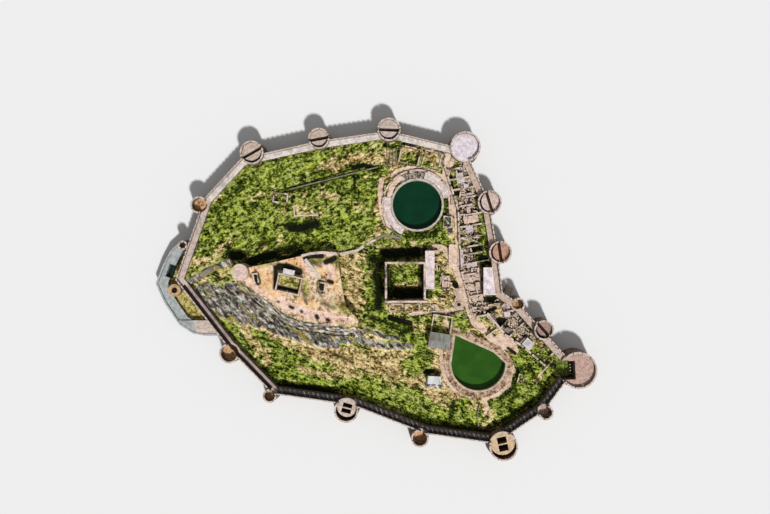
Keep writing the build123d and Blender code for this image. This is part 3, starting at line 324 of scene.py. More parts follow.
# Low flat roofs and floor slabs among the ruins: level, height and corners in the picture, by their plaster
SLABS = {
    "pale_slabs": [
        (NORTH_WARD, 0.24, 455, 174, 462, 173, 464, 182, 457, 184),
        (NORTH_WARD, 0.20, 463, 184.5, 468, 184, 469, 188, 464, 189),
        (NORTH_WARD, 0.18, 465, 226, 472, 225, 473, 232, 466, 233),
        (NORTH_WARD, 0.16, 463, 194, 471, 193, 471.5, 195, 463.5, 196),
        (SOUTH_WARD, 0.24, 459.5, 250, 462.5, 250, 463.5, 266, 460.5, 267),
        (SOUTH_WARD, 0.26, 503, 311.5, 509, 311, 510, 316, 504, 317),
        (SOUTH_WARD, 0.20, 505, 301, 511, 299, 513, 306, 507, 309),
        (SOUTH_WARD, 0.16, 466, 264, 476, 262, 477, 266, 467, 268),
    ],
    "tan_slabs": [
        (NORTH_WARD, 0.22, 463, 217, 477, 215, 478.5, 221.5, 464, 224),
        (SOUTH_WARD, 0.10, 461.5, 271.5, 478, 269.5, 480.5, 280.5, 464, 282.5),
        (SOUTH_WARD, 0.07, 466.5, 284.5, 480, 283, 481.5, 289.5, 469, 291),
        (SOUTH_WARD, 0.12, 470, 292.5, 481.5, 291, 483.5, 300, 473, 302),
        (SOUTH_WARD, 0.10, 442, 276.5, 449, 276, 449.5, 286.5, 442.5, 287.5),
        (SOUTH_WARD, 0.06, 455.5, 288.5, 462, 288, 464, 298, 458, 299.5),
    ],
    "grey_slabs": [
        (SOUTH_WARD, 0.09, 490, 317.5, 493.5, 315.5, 499, 326, 496, 329),
        (SOUTH_WARD, 0.10, 503, 330, 507, 327, 513.5, 330, 512, 336),
    ],
}

# Lengths of pale wall: foot, head, half width and points in the picture
LOW_WALLS = [
    (CITADEL, CITADEL + 0.09, 0.08, 302, 256, 311, 253.5, 322, 252.5, 336, 253.5),
    (0.46, NORTH_WARD + 0.17, 0.09, 341.5, 254, 356, 251.2),
    (SOUTH_WARD, SOUTH_WARD + 0.30, 0.05, 487, 313, 503, 332),
    (NORTH_WARD, NORTH_WARD + 0.20, 0.04, 459, 215, 478, 214),
    (SOUTH_WARD, SOUTH_WARD + 0.20, 0.03, 486, 336, 496, 329),
    (NORTH_WARD, NORTH_WARD + 0.06, 0.04, 294, 206, 294.5, 216, 318, 215),
    (SOUTH_WARD, SOUTH_WARD + 0.16, 0.04, 390, 300.5, 428, 299),
]

# A low step that runs along the west walk below its parapet, dark as the parapet's painted shadow on the
# walk: half width, height and points in metres
STEP_HALF, STEP_HIGH = 0.085, 0.04
SHADOW_STEP = [Vector((-12.10, 0.20)), Vector((-9.087, -3.679)), Vector((-6.60, -6.247))]

# Four-cornered patches of the picture where stones lie
ROOMS = (460, 248, 474, 252, 488, 318, 470, 318)
NORTH_ROOMS = (458, 160, 470, 164, 478, 242, 461, 242)
LANE = (496, 300, 508, 298, 535, 338, 518, 344)
RING = (400, 174, 432, 172, 430, 178, 402, 180)
SLOPE = (202, 284, 226, 280, 262, 318, 246, 326)
YARDS = (436, 264, 450, 266, 456, 302, 438, 300)

# Fallen stones: share of them all, level, patch, and least and greatest radius
HEAPS = {
    "stones_rooms": (0.14, SOUTH_WARD, ROOMS, (0.02, 0.075)),
    "stones_north_rooms": (0.24, NORTH_WARD, NORTH_ROOMS, (0.02, 0.075)),
    "stones_lane": (0.12, SOUTH_WARD, LANE, (0.03, 0.10)),
    "stones_ring": (0.06, NORTH_WARD, RING, (0.02, 0.06)),
    "stones_slope": (0.06, SOUTH_WARD, SLOPE, (0.03, 0.13)),
}

# Stubs of walls: how many, level, patch and turn in degrees
STUBS = {
    "wall_stubs_north": (70, NORTH_WARD, NORTH_ROOMS, -8), "wall_stubs_south": (34, SOUTH_WARD, ROOMS, -14),
    "wall_stubs_lane": (26, SOUTH_WARD, LANE, -48), "wall_stubs_yards": (16, SOUTH_WARD, YARDS, 0),
}


# Sizes and colours that a user may change


class FortMasonry(bpy.types.PropertyGroup):
    stone: FloatProperty(
        name="Stone", description="Usual width of a stone", default=0.05, min=0.01, unit="LENGTH"
    )
    relief: FloatProperty(
        name="Relief", description="How far stones stand proud of their joints", default=0.012,
        min=0.0, unit="LENGTH"
    )
    dark: FloatVectorProperty(
        name="Dark stone", description="Weathered faces", subtype="COLOR", default=paint(76, 60, 50),
        min=0, max=1
    )
    light: FloatVectorProperty(
        name="Light stone", description="Fresher faces", subtype="COLOR", default=paint(158, 134, 114),
        min=0, max=1
    )
    lime: FloatVectorProperty(
        name="Lime", description="Worn lime on the tops", subtype="COLOR", default=paint(226, 208, 190),
        min=0, max=1
    )
    algae: FloatVectorProperty(
        name="Algae", description="Growth at the water line", subtype="COLOR", default=paint(46, 50, 36),
        min=0, max=1
    )


class FortGround(bpy.types.PropertyGroup):
    pitch: FloatProperty(
        name="Pitch", description="Width of one cell of ground", default=0.08, min=0.04, unit="LENGTH"
    )
    relief: FloatProperty(
        name="Relief", description="Height of its mounds", default=0.085, min=0.0, unit="LENGTH"
    )
    moss: FloatVectorProperty(
        name="Moss", description="Green growth", subtype="COLOR", default=paint(126, 140, 50), min=0, max=1
    )
    dry: FloatVectorProperty(
        name="Dry earth", description="Sandy ground", subtype="COLOR", default=paint(190, 172, 112),
        min=0, max=1
    )
    worn: FloatVectorProperty(
        name="Worn earth", description="Trodden ways", subtype="COLOR", default=paint(218, 186, 160),
        min=0, max=1
    )


class FortRuins(bpy.types.PropertyGroup):
    pitch: FloatProperty(
        name="Pitch", description="Width of a broken stone", default=0.09, min=0.04, unit="LENGTH"
    )
    fallen: FloatProperty(
        name="Fallen", description="Share of a wall's height lost where most has fallen", default=0.6,
        min=0, max=0.95
    )
    stones: IntProperty(
        name="Stones", description="Fallen stones in the wards", default=2600, min=0, max=6000
    )
    seed: IntProperty(name="Seed", description="Where the stones fall", default=7)


class FortWater(bpy.types.PropertyGroup):
    round_level: FloatProperty(name="Round tank", description="Water level", default=0.44, unit="LENGTH")
    pear_level: FloatProperty(name="Pear tank", description="Water level", default=0.125, unit="LENGTH")
    pool_level: FloatProperty(
        name="Pool", description="Water level in the outwork", default=0.27, unit="LENGTH"
    )
    round_colour: FloatVectorProperty(
        name="Deep water", description="In the round tank", subtype="COLOR", default=paint(7, 52, 32),
        min=0, max=1
    )
    pear_colour: FloatVectorProperty(
        name="Green water", description="In the pear tank", subtype="COLOR", default=paint(46, 88, 25),
        min=0, max=1
    )


class FortStage(bpy.types.PropertyGroup):
    key: FloatProperty(name="Key light", description="Strength of the slanting light", default=3.20, min=0.0)
    fill: FloatProperty(
        name="Fill", description="Strength of the light from all round", default=0.25, min=0.0
    )
    floor: FloatVectorProperty(
        name="Floor", description="Pale floor", subtype="COLOR", default=(0.86, 0.86, 0.86), min=0, max=1
    )


SETTINGS = {
    "fort_masonry": FortMasonry, "fort_ground": FortGround, "fort_ruins": FortRuins,
    "fort_water": FortWater, "fort_stage": FortStage,
}


# Materials


class Tone:
    """A socket's value in a finish, with the arithmetic that adds Math nodes."""

    def __init__(self, finish, socket):
        self.finish, self.socket = finish, socket

    def math(self, operation, first, second=0.0):
        return self.finish.add("ShaderNodeMath", {"operation": operation}, {0: first, 1: second})

    def __add__(self, other):
        return self.math("ADD", self, other)

    __radd__ = __add__

    def __sub__(self, other):
        return self.math("SUBTRACT", self, other)

    def __rsub__(self, other):
        return self.math("SUBTRACT", other, self)

    def __mul__(self, other):
        return self.math("MULTIPLY", self, other)

    def over(self, low, high):
        """0 below low, 1 above high, and a smooth rise between them."""
        inputs = {"Value": self, "From Min": low, "From Max": high}
        return self.finish.add("ShaderNodeMapRange", {"interpolation_type": "SMOOTHSTEP"}, inputs)

    def ragged(self, cloud, reach, low, high):
        """The same, with an edge that a cloud breaks up."""
        return (self + (cloud - 0.5) * reach).over(low, high)

    def part(self, name):
        """Another output of the same node."""
        return Tone(self.finish, self.socket.node.outputs[name])


def opaque(colour):
    """A colour as a socket takes it, whether it is a tone or three numbers."""
    return colour if isinstance(colour, Tone) else (*colour, 1.0)


class Nodes:
    """The nodes of a material or a world."""

    def __init__(self, owner):
        owner.use_nodes = True
        self.tree = owner.node_tree
        self.tree.nodes.clear()

    def add(self, kind, settings, inputs):
        """A node with its settings, and then its sockets' values or links."""
        node = self.tree.nodes.new(kind)
        for name, value in settings.items():
            if name == "stops":
                while len(node.color_ramp.elements) < len(value):
                    node.color_ramp.elements.new(0.5)
                for element, (position, colour) in zip(node.color_ramp.elements, value):
                    element.position, element.color = position, (*colour, 1.0)
            else:
                setattr(node, name, value)
        for name, value in inputs.items():
            if isinstance(value, Tone):
                self.tree.links.new(value.socket, node.inputs[name])
            else:
                node.inputs[name].default_value = value
        return Tone(self, node.outputs[0] if node.outputs else None)


class Finish(Nodes):
    """A material, built up from its nodes."""

    def __init__(self, name):
        self.material = bpy.data.materials.new(name)
        super().__init__(self.material)
        self.place = self.add("ShaderNodeTexCoord", {}, {}).part("Object")
        self.height = self.axis(self.place, "Z")
        self.facing = self.axis(self.add("ShaderNodeNewGeometry", {}, {}).part("Normal"), "Z")

    def axis(self, place, name):
        """One of a place's three coordinates."""
        return self.add("ShaderNodeSeparateXYZ", {}, {0: place}).part(name)

    def scaled(self, place, across, along, up):
        """A place, drawn out by a share on each axis."""
        return self.add("ShaderNodeVectorMath", {"operation": "MULTIPLY"}, {0: place, 1: (across, along, up)})

    def stretch(self, across, along, up, turn=0.0):
        """Object coordinates, drawn out by a share on each axis after a turn about the vertical."""
        turned = self.add("ShaderNodeMapping", {}, {"Vector": self.place, "Rotation": (0, 0, turn)})
        return self.scaled(turned, across, along, up)

    def cloud(self, size, detail=3.0, rough=0.55, at=None):
        """Soft noise whose patches are about that size."""
        inputs = {"Vector": at or self.place, "Scale": 1 / size, "Detail": detail, "Roughness": rough}
        return self.add("ShaderNodeTexNoise", {}, inputs)

    def cells(self, size, feature="F1", at=None):
        """Cells about that size: their distance, with a random colour for each."""
        return self.add(
            "ShaderNodeTexVoronoi", {"feature": feature}, {"Vector": at or self.place, "Scale": 1 / size}
        )

    def ramp(self, share, *stops):
        """A run of colours, from stops that are each a position and a linear colour or its three steps."""
        stops = [(position, tint[0] if len(tint) == 1 else paint(*tint)) for position, *tint in stops]
        return self.add("ShaderNodeValToRGB", {"stops": stops}, {"Fac": share})

    def mix(self, share, first, second):
        """The first colour at a share of 0, and the second at 1."""
        settings = {"data_type": "RGBA", "clamp_factor": True}
        node = self.add("ShaderNodeMix", settings, {0: share, 6: opaque(first), 7: opaque(second)})
        return Tone(self, node.socket.node.outputs[2])

    def coated(self, colour, *coats):
        """A colour under one coat after another, each a share and a tint."""
        for share, tint in coats:
            colour = self.mix(share, colour, tint)
        return colour

    def worn(self, share, tint):
        """A tint that patches of wear make paler and darker."""
        return self.mix(share.over(0.40, 0.56), shade(tint, 0.78), shade(tint, 1.06))

    def close(self, colour, rough, relief=None, reach=0.01, gloss=DULL, metal=0.0):
        """Ends the finish with its shader. Relief is a height from 0 to 1, and reach what 1 stands for."""
        inputs = {
            "Base Color": opaque(colour), "Roughness": rough, "Specular IOR Level": gloss, "Metallic": metal
        }
        if relief is not None:
            inputs["Normal"] = self.add(
                "ShaderNodeBump", {}, {"Height": relief, "Distance": reach, "Strength": 1.0}
            )
        shader = self.add("ShaderNodeBsdfPrincipled", {}, inputs)
        self.add("ShaderNodeOutputMaterial", {}, {"Surface": shader})
        return self.material


def random_share(tone):
    """One of the three random numbers of a cell's colour."""
    return tone.finish.add("ShaderNodeSeparateColor", {}, {0: tone.part("Color")})


def floor_tone(made, speck, patch, tint, kind):
    """The floor of a bastion: worn, broken up by rubble or growth, or painted dark as shade where it is sunk
    below the walk.
    """
    if kind in BROKEN_FLOORS:
        share, low, half, darker, paler = BROKEN_FLOORS[kind]
        light = speck * share + patch * (1 - share)
        return made.ramp(light, (low, shade(tint, darker)), (half, tint), (0.58, shade(tint, paler)))
    floor = made.mix(speck.over(0.52, 0.62) * 0.50, made.worn(patch, tint), shade(tint, 0.42))
    # Sunk parts below the walk are painted near-black as shade
    if kind == "sunk":
        sunk = 1 - made.height.over(WALL_WALK + 0.03, WALL_WALK + 0.09)
        floor = made.mix(sunk * 0.95, floor, paint(26, 18, 16))
    return floor


def masonry_finish(name, dark, light, lime, floors=(), algae=None, court=None, change=None, slabs=None,
                   growth=None, stone=0.05, relief=0.012):
    """Rubble faces with pale joints and streaks, and worn lime on whatever faces up.

    court is the level of a floor that is grown over, change an axis, a place on it and the lime beyond, slabs
    the pitch, turn and tint of cross bands, painted light through the crenels on the south walk, and growth
    the tint of what has fallen.
    """
    made = Finish(name)
    courses = made.stretch(1, 1, 1.7)
    each = random_share(made.cells(stone, at=courses))
    joint = made.cells(stone, "DISTANCE_TO_EDGE", at=courses).over(0.02, 0.14)
    stain, patch, grit = made.cloud(0.9, 4), made.cloud(0.24, 4, 0.62), made.cloud(0.018, 2)
    speck, streak = made.cloud(0.065, 3, 0.6), made.cloud(0.09, 3, at=made.stretch(1, 1, 0.12))
    wall = made.mix(joint * 0.55 + 0.45, shade(lime, 0.45), made.mix(each, dark, light))
    wall = made.coated(
        wall, (stain.over(0.42, 0.68) * 0.45, shade(dark, 0.35)),
        (streak.over(0.55, 0.75) * 0.5, shade(dark, 0.3)),
        ((patch * 0.6 + stain * 0.4).over(0.54, 0.62) * 0.40, shade(lime, 0.8)),
    )
    top = made.worn(patch, lime)
    # Cross bands at a pitch and turn: on the south walk, pale streaks along the sun's bearing are painted
    # light falling through the crenels
    if slabs:
        pitch, turn, tint = slabs
        run = made.axis(made.stretch(1, 1, 1, turn), "X") * (1 / pitch)
        share = run.math("FRACT", run)
        share = share.over(0.58, 0.70) * (1 - share.over(0.84, 0.96)) * (0.15 + patch.over(0.44, 0.56) * 0.7)
        top = made.mix(share, top, tint)
    if change:
        axis, place, tint = change
        top = made.mix(
            made.axis(made.place, axis).over(place - 0.1, place + 0.1), top, made.worn(patch, tint)
        )
    if court:
        grown = made.ramp(
            speck * 0.5 + patch * 0.5, (0.44, 104, 96, 36), (0.50, 208, 190, 104), (0.58, 242, 226, 150)
        )
        top = made.mix(made.height.over(court + 0.06, court + 0.12), grown, top)
    top = made.coated(
        top, (stain.over(0.54, 0.70) * 0.25, shade(dark, 0.75)),
        (speck.over(0.58, 0.66) * 0.45, shade(dark, 0.7)),
        ((1 - joint) * 0.20, dark),
    )
    level = made.scaled(made.place, 1, 1, 0)
    for middle, radius, tint, kind in floors:
        reach = made.add(
            "ShaderNodeVectorMath", {"operation": "DISTANCE"}, {0: level, 1: (*middle, 0)}
        ).part("Value")
        inside = 1 - reach.over(radius - 0.12, radius - 0.06)
        top = made.mix(inside, top, floor_tone(made, speck, patch, tint, kind))
    if growth:
        fallen = made.add("ShaderNodeAttribute", {"attribute_name": "fallen"}, {}).part("Fac")
        grown = made.ramp(speck, (0.42, shade(growth, 0.3)), (0.50, growth), (0.60, 206, 186, 150))
        top = made.mix((fallen + speck - 0.5).over(0.45, 0.75), top, grown)
    colour = made.mix(made.facing.over(0.35, 0.8), wall, top)
    if algae:
        colour = made.mix((1 - (made.height + streak * 0.12).over(0.05, 0.26)) * 0.85, colour, algae)
    return made.close(colour, 0.9, joint * 0.7 + grit * 0.2 + each * 0.3, relief)


def plaster_finish(name, tint, dark, joints=0.0, south=None):
    """Smooth lime plaster, stained and cracked, with slab joints in some. South of Y 0 it may differ."""
    made = Finish(name)
    patch, stain, grit = made.cloud(0.30, 4), made.cloud(0.07, 4), made.cloud(0.012, 2)
    colour = made.worn(patch, tint)
    if south:
        rubble = made.ramp(stain * 0.5 + patch * 0.5, (0.42, 58, 42, 26), (0.47, south),
                           (0.53, 216, 178, 150), (0.60, 240, 214, 196))
        colour = made.mix(made.axis(made.place, "Y").over(-0.1, 0.1), rubble, colour)
    crack = made.cells(0.5, "DISTANCE_TO_EDGE").over(0.0, 0.02)
    colour = made.coated(colour, (stain.over(0.55, 0.66) * 0.40, dark), ((1 - crack) * 0.5, dark))
    height = crack * 0.6 + grit * 0.25
    if joints:
        slab = made.cells(joints, "DISTANCE_TO_EDGE").over(0.01, 0.06)
        each = random_share(made.cells(joints))
        colour = made.coated(colour, (each * 0.22, dark), ((1 - slab) * 0.45, dark))
        height = height * 0.4 + slab * 0.6
    colour = made.mix((1 - made.facing.over(0.2, 0.7)) * 0.5, colour, dark)
    return made.close(colour, 0.85, height, 0.006)


def shares_of(made):
    """Way, sand, rock and painted shade in the ground's own paint. Sand is 0.5 where neither moss nor sand
    was.
    """
    marks = made.add("ShaderNodeAttribute", {"attribute_name": "ground"}, {})
    shares = made.add("ShaderNodeSeparateColor", {}, {0: marks.part("Color")})
    return shares.part("Red"), shares.part("Green"), shares.part("Blue"), marks.part("Alpha")


def ground_finish(name, ground, level, dryness, turn):
    """Moss, dry earth, worn ways, bare rock and near-black painted shade and shadow, where the ground's own
    paint says. Growth lies along turn.
    """
    made = Finish(name)
    way, sand, rock, deep = shares_of(made)
    grain = made.stretch(0.6, 1, 1, turn)
    patch, lump = made.cloud(0.80, 5, 0.62), made.cloud(0.22, 5, 0.65, grain)
    tuft, leaf = made.cloud(0.10, 4, 0.62, grain), made.cloud(0.05, 4, 0.6)
    kind = made.cloud(0.36, 4, 0.6, grain)
    # Height above the ward makes mound tops paler and hollows darker: painted light and shade
    rise = (made.height - level) * (1 / ground.relief)
    light = leaf * 0.30 + tuft * 0.30 + lump * 0.30 + rise * 0.10 + 0.013
    green = made.ramp(light, (0.46, 10, 16, 0), (0.49, 50, 64, 8), (0.52, ground.moss), (0.57, 190, 198, 110))
    lime = made.ramp(light, (0.46, 24, 34, 0), (0.49, 80, 98, 8), (0.52, 146, 162, 44), (0.57, 206, 212, 104))
    sandy = made.ramp(
        light, (0.46, 50, 44, 12), (0.49, 140, 122, 58), (0.52, ground.dry), (0.57, 254, 228, 176)
    )
    tan = made.ramp(light, (0.47, 110, 80, 46), (0.56, 240, 204, 158))
    worn = made.ramp(
        lump * 0.45 + leaf * 0.55, (0.40, 128, 100, 70), (0.47, ground.worn), (0.58, 246, 222, 204)
    )
    green = made.mix(kind.over(0.50, 0.56) * 0.85, green, lime)
    dry = made.mix(kind.over(0.52, 0.58) * 0.55, sandy, tan)
    spread = (patch - 0.5) * 1.5 + (lump - 0.5) * 1.3
    painted_shade_share = (deep + (lump - 0.5) * 2.6).ragged(leaf, 1.4, 0.45, 1.05)
    # The last coat is near-black painted shade and shadow, where the ground's paint marks them
    colour = made.coated(
        green, ((sand + spread + dryness).over(0.42, 0.66), dry),
        (rock.ragged(lump, 1.6, 0.38, 0.62), stone_tones(made, lump, leaf)),
        (way.ragged(lump, 0.9, 0.38, 0.60), worn), (painted_shade_share * 0.97, paint(10, 14, 6)),
    )
    return made.close(colour, 0.95, lump * 0.5 + leaf * 0.5, 0.03)


def stone_tones(made, lump, leaf):
    """Weathered rock in slanting strata, cracked and grown over, with paler and darker beds."""
    slant = made.stretch(0.32, 1, 1.2, STRATA)
    beds, crack = made.cloud(0.20, 5, 0.62, slant), made.cloud(0.34, 3, 0.6, slant)
    hue, growth = made.cloud(0.50, 3), made.cloud(0.62, 4, 0.55, made.stretch(0.6, 1, 1, math.radians(40)))
    light = beds * 0.55 + lump * 0.20 + leaf * 0.25
    stone = made.ramp(
        light, (0.43, 34, 34, 28), (0.475, 92, 88, 80), (0.52, 150, 142, 130), (0.58, 240, 232, 216)
    )
    lilac = made.ramp(light, (0.43, 52, 44, 42), (0.50, 138, 122, 118), (0.58, 220, 204, 198))
    teal = made.ramp(light, (0.44, 24, 28, 22), (0.51, 84, 90, 76), (0.58, 176, 182, 164))
    grown = made.ramp(leaf, (0.44, 92, 86, 30), (0.54, 198, 178, 96))
    seam = 1 - crack.math("ABSOLUTE", crack - 0.5).over(0.0, 0.018)
    return made.coated(
        stone, (hue.over(0.51, 0.58) * 0.60, lilac), ((1 - hue.over(0.41, 0.47)) * 0.65, teal),
        (seam * 0.65, paint(38, 34, 28)), ((growth * 0.90 + leaf * 0.10).over(0.57, 0.61) * 0.85, grown),
    )


def rock_finish(name):
    """The citadel's plateau above, with painted shade and shadow where its paint marks them, and weathered
    crags on its slopes.
    """
    made = Finish(name)
    way, sand, grown, deep = shares_of(made)
    patch, lump, leaf = made.cloud(0.6, 5, 0.6), made.cloud(0.20, 5, 0.65), made.cloud(0.045, 4, 0.6)
    light = leaf * 0.30 + lump * 0.45 + patch * 0.25
    earth = made.ramp(
        light, (0.43, 84, 68, 42), (0.47, 190, 156, 116), (0.53, 238, 208, 174), (0.59, 255, 240, 220)
    )
    orange = made.ramp(light, (0.41, 150, 106, 60), (0.46, 230, 180, 126), (0.58, 255, 222, 182))
    pale = made.ramp(light, (0.41, 160, 126, 108), (0.46, 230, 190, 170), (0.57, 252, 226, 212))
    green = made.ramp(light, (0.45, 36, 40, 10), (0.50, 128, 124, 48), (0.57, 226, 214, 138))
    dry = made.ramp(light, (0.45, 58, 54, 18), (0.52, 160, 148, 88), (0.59, 222, 204, 152))
    spread = (patch - 0.5) * 0.9 + (lump - 0.5) * 1.1
    # The last two coats are painted shade and shadow, soft and then near-black
    top = made.coated(
        earth, ((sand + spread - 0.5).over(0.10, 0.34), orange),
        ((0.5 - sand + spread).over(0.10, 0.34), green),
        (way.ragged(lump, 0.8, 0.35, 0.65), pale),
        (deep.ragged(lump, 0.8, 0.35, 0.65) * 0.7, paint(84, 80, 54)),
        (deep.ragged(leaf, 0.8, 0.90, 1.30) * 0.97, paint(22, 24, 18)),
    )
    growth = made.mix(patch.over(0.44, 0.54), green, dry)
    stone = made.mix(grown.ragged(lump, 1.4, 0.35, 0.65), stone_tones(made, lump, leaf), growth)
    colour = made.mix(made.facing.ragged(lump, 0.7, 0.72, 0.92), stone, top)
    return made.close(colour, 0.95, lump * 0.6 + leaf * 0.4, 0.03)


def sheet_finish(name, tint, turn, pitch):
    """Corrugated sheet, in lapped widths, streaked down its slope."""
    made = Finish(name)
    slope = made.stretch(1, 1, 1, turn)
    inputs = {"Vector": slope, "Scale": WAVE_SCALE / pitch, "Distortion": 0.0}
    wave = made.add("ShaderNodeTexWave", {"wave_type": "BANDS", "bands_direction": "X"}, inputs).part("Fac")
    rust = made.cloud(0.20, 4, at=made.scaled(slope, 1, 0.2, 1))
    lap = random_share(made.cells(0.22, at=made.scaled(slope, 1, 0.3, 0)))
    colour = made.coated(
        made.mix(lap * 0.8, shade(tint, 1.2), shade(tint, 0.66)),
        (rust.over(0.54, 0.66) * 0.6, paint(108, 92, 80)),
        ((1 - wave) * 0.25, shade(tint, 0.5)),
    )
    return made.close(colour, 0.55, wave, 0.006, metal=0.25)


def water_finish(name, tint):
    """Still, murky water."""
    made = Finish(name)
    colour = made.mix(made.cloud(0.9, 3).over(0.35, 0.65), shade(tint, 0.85), shade(tint, 1.12))
    return made.close(colour, 0.15, made.cloud(0.05, 2, at=made.stretch(1, 2.2, 1, 0.5)), 0.0006, gloss=0.05)


def dress(node, finish):
    """Gives a carried-over node its finish."""
    node.data.materials.clear()
    node.data.materials.append(finish)


# Shaping


def copy_of(node):
    """A copy of a carried-over node, with whole flat faces."""
    shape = bmesh.new()
    shape.from_mesh(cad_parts[node].data)
    bmesh.ops.remove_doubles(shape, verts=shape.verts[:], dist=MERGED)
    bmesh.ops.dissolve_limit(shape, angle_limit=FLAT, verts=shape.verts[:], edges=shape.edges[:])
    return shape


def dice(shape, across, up=0.0):
    """Cuts a shape along an even grid, so that its faces can be broken or heaped."""
    for axis, pitch in enumerate((across, across, up)):
        if not pitch:
            continue
        reach = [corner.co[axis] for corner in shape.verts]
        normal = Vector((axis == 0, axis == 1, axis == 2))
        for step in range(math.floor(min(reach) / pitch) + 1, math.ceil(max(reach) / pitch)):
            parts = shape.verts[:] + shape.edges[:] + shape.faces[:]
            bmesh.ops.bisect_plane(
                shape, geom=parts, dist=MERGED, plane_co=normal * step * pitch, plane_no=normal
            )


def placed(spot, turn, axis, size):
    """The matrix that stretches a unit shape, turns it and takes it to its spot."""
    return Matrix.Translation(spot) @ Matrix.Rotation(turn, 4, axis) @ Matrix.Diagonal((*size, 1))


def thicken(shape, faces, high):
    """Raises flat faces into a plate."""
    raised = bmesh.ops.extrude_face_region(shape, geom=faces)["geom"]
    moved = [part for part in raised if isinstance(part, bmesh.types.BMVert)]
    bmesh.ops.translate(shape, verts=moved, vec=(0, 0, high))


def roughen(shape, size, reach):
    """Shifts every corner a little, by noise of that size."""
    for corner in shape.verts:
        corner.co += noise.noise_vector(corner.co / size) * reach


def show(name, shape, material):
    """Puts a finished shape in the scene."""
    mesh = bpy.data.meshes.new(name)
    shape.to_mesh(mesh)
    shape.free()
    mesh.materials.append(material)
    made = bpy.data.objects.new(name, mesh)
    bpy.context.scene.collection.objects.link(made)
    return made


def piece(name, shape, material, slot, *nodes):
    """Puts a finished shape in the scene, on the fort's body, for the nodes that it stands for."""
    made = show(name, shape, material)
    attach(made, "root")
    if nodes:
        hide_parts(*nodes)
    return made


def lumps(place, size):
    """Heaped ground, between 0 and 1."""
    at = Vector((place.x / size, place.y / size, 0.37))
    return min(1.0, max(0.0, 0.5 + 0.75 * noise.fractal(at, 0.9, 2.1, 4)))


def shares_at(places, level):
    """How much of each kind of mark each place has, from 0 to 1."""
    shares = {kind: np.zeros(len(places)) for kind in SOFT_EDGES}
    for kind, soft in SOFT_EDGES.items():
        for half, *numbers in MARKS.get((level, kind), ()):
            points = line(level, numbers)
            for start, end in zip(points, points[1:]):
                first, run = np.array(start), np.array(end - start)
                along = np.clip(((places - first) @ run) / max(run @ run, 1e-9), 0, 1)
                gap = np.linalg.norm(places - first - along[:, None] * run, axis=1)
                shares[kind] = np.maximum(shares[kind], np.clip((half + soft / 2 - gap) / soft, 0, 1))
    return shares


def paint_ground(mesh, level):
    """Marks each point of a ground mesh with its shares."""
    places = np.zeros(len(mesh.vertices) * 3, np.float32)
    mesh.vertices.foreach_get("co", places)
    shares = shares_at(places.reshape(-1, 3)[:, :2].astype(float), level)
    sandy = 0.5 + 0.5 * shares["sand"] - 0.5 * shares["moss"]
    trodden = np.maximum(shares["way"], shares["paved"])
    # The fourth share is painted shade and shadow
    painted_shade_share = np.maximum(shares["deep"], 1.5 * shares["pit"])
    columns = np.stack([trodden, sandy, shares["rock"], painted_shade_share], axis=1)
    marks = mesh.attributes.new("ground", "FLOAT_COLOR", "POINT")
    marks.data.foreach_set("color", columns.astype(np.float32).ravel())


def heap(shape, level, relief, size):
    """Raises a shape's top into low mounds and rocky ridges, and leaves its trodden ways almost flat."""
    top = [corner for corner in shape.verts if abs(corner.co.z - level) < EVEN]
    places = np.array([corner.co[:2] for corner in top])
    shares = shares_at(places, level)
    calm = np.maximum.reduce([shares["way"], shares["paved"], 0.8 * shares["deep"], 0.8 * shares["pit"]])
    for middle, radius in FLAT_RINGS:
        gap = np.linalg.norm(places - np.array(middle), axis=1)
        calm = np.maximum(calm, np.clip((radius - gap) / 0.15, 0, 1))
    for corner, still, rock in zip(top, calm, shares["rock"]):
        mound = 0.6 * lumps(corner.co, size) + 0.4 * lumps(corner.co, 0.4 * size)
        strata = Matrix.Rotation(STRATA, 3, "Z") @ corner.co
        ridge = 1 - abs(2 * lumps(Vector((0.35 * strata.x, strata.y, 0)), size) - 1)
        corner.co.z += 0.003 + relief * (1 - still) * (mound ** 1.4 + 1.8 * rock * ridge)


def crumble(shape, fallen, size, swell, ragged):
    """Ragged heads and loosened faces on walls on level ground. Where ragged, stretches are all but gone."""
    shape.normal_update()
    lost = shape.verts.layers.float.new("fallen")
    for island in islands(shape):
        low = min(corner.co.z for corner in island)
        for corner in island:
            share = lumps(corner.co + Vector((3.1, 7.7, 0)), size)
            share = min(1.0, max(0.0, (share - 0.42) * 4)) if ragged else share ** 1.5
            corner[lost] = share if ragged else 0.0
            out, place = corner.normal * swell, corner.co.copy()
            corner.co += Vector((out.x, out.y, 0))
            corner.co.z = low + (place.z - low) * (1 - fallen * share)
            if place.z > low + EVEN:
                corner.co += noise.noise_vector(place / 0.07) * 0.016


def islands(shape):
    """The separate solids of a shape, as lists of corners."""
    left = set(shape.verts)
    while left:
        seed = left.pop()
        found, edge_of = [seed], [seed]
        while edge_of:
            for edge in edge_of.pop().link_edges:
                for corner in edge.verts:
                    if corner in left:
                        left.remove(corner)
                        found.append(corner)
                        edge_of.append(corner)
        yield found


# Operators


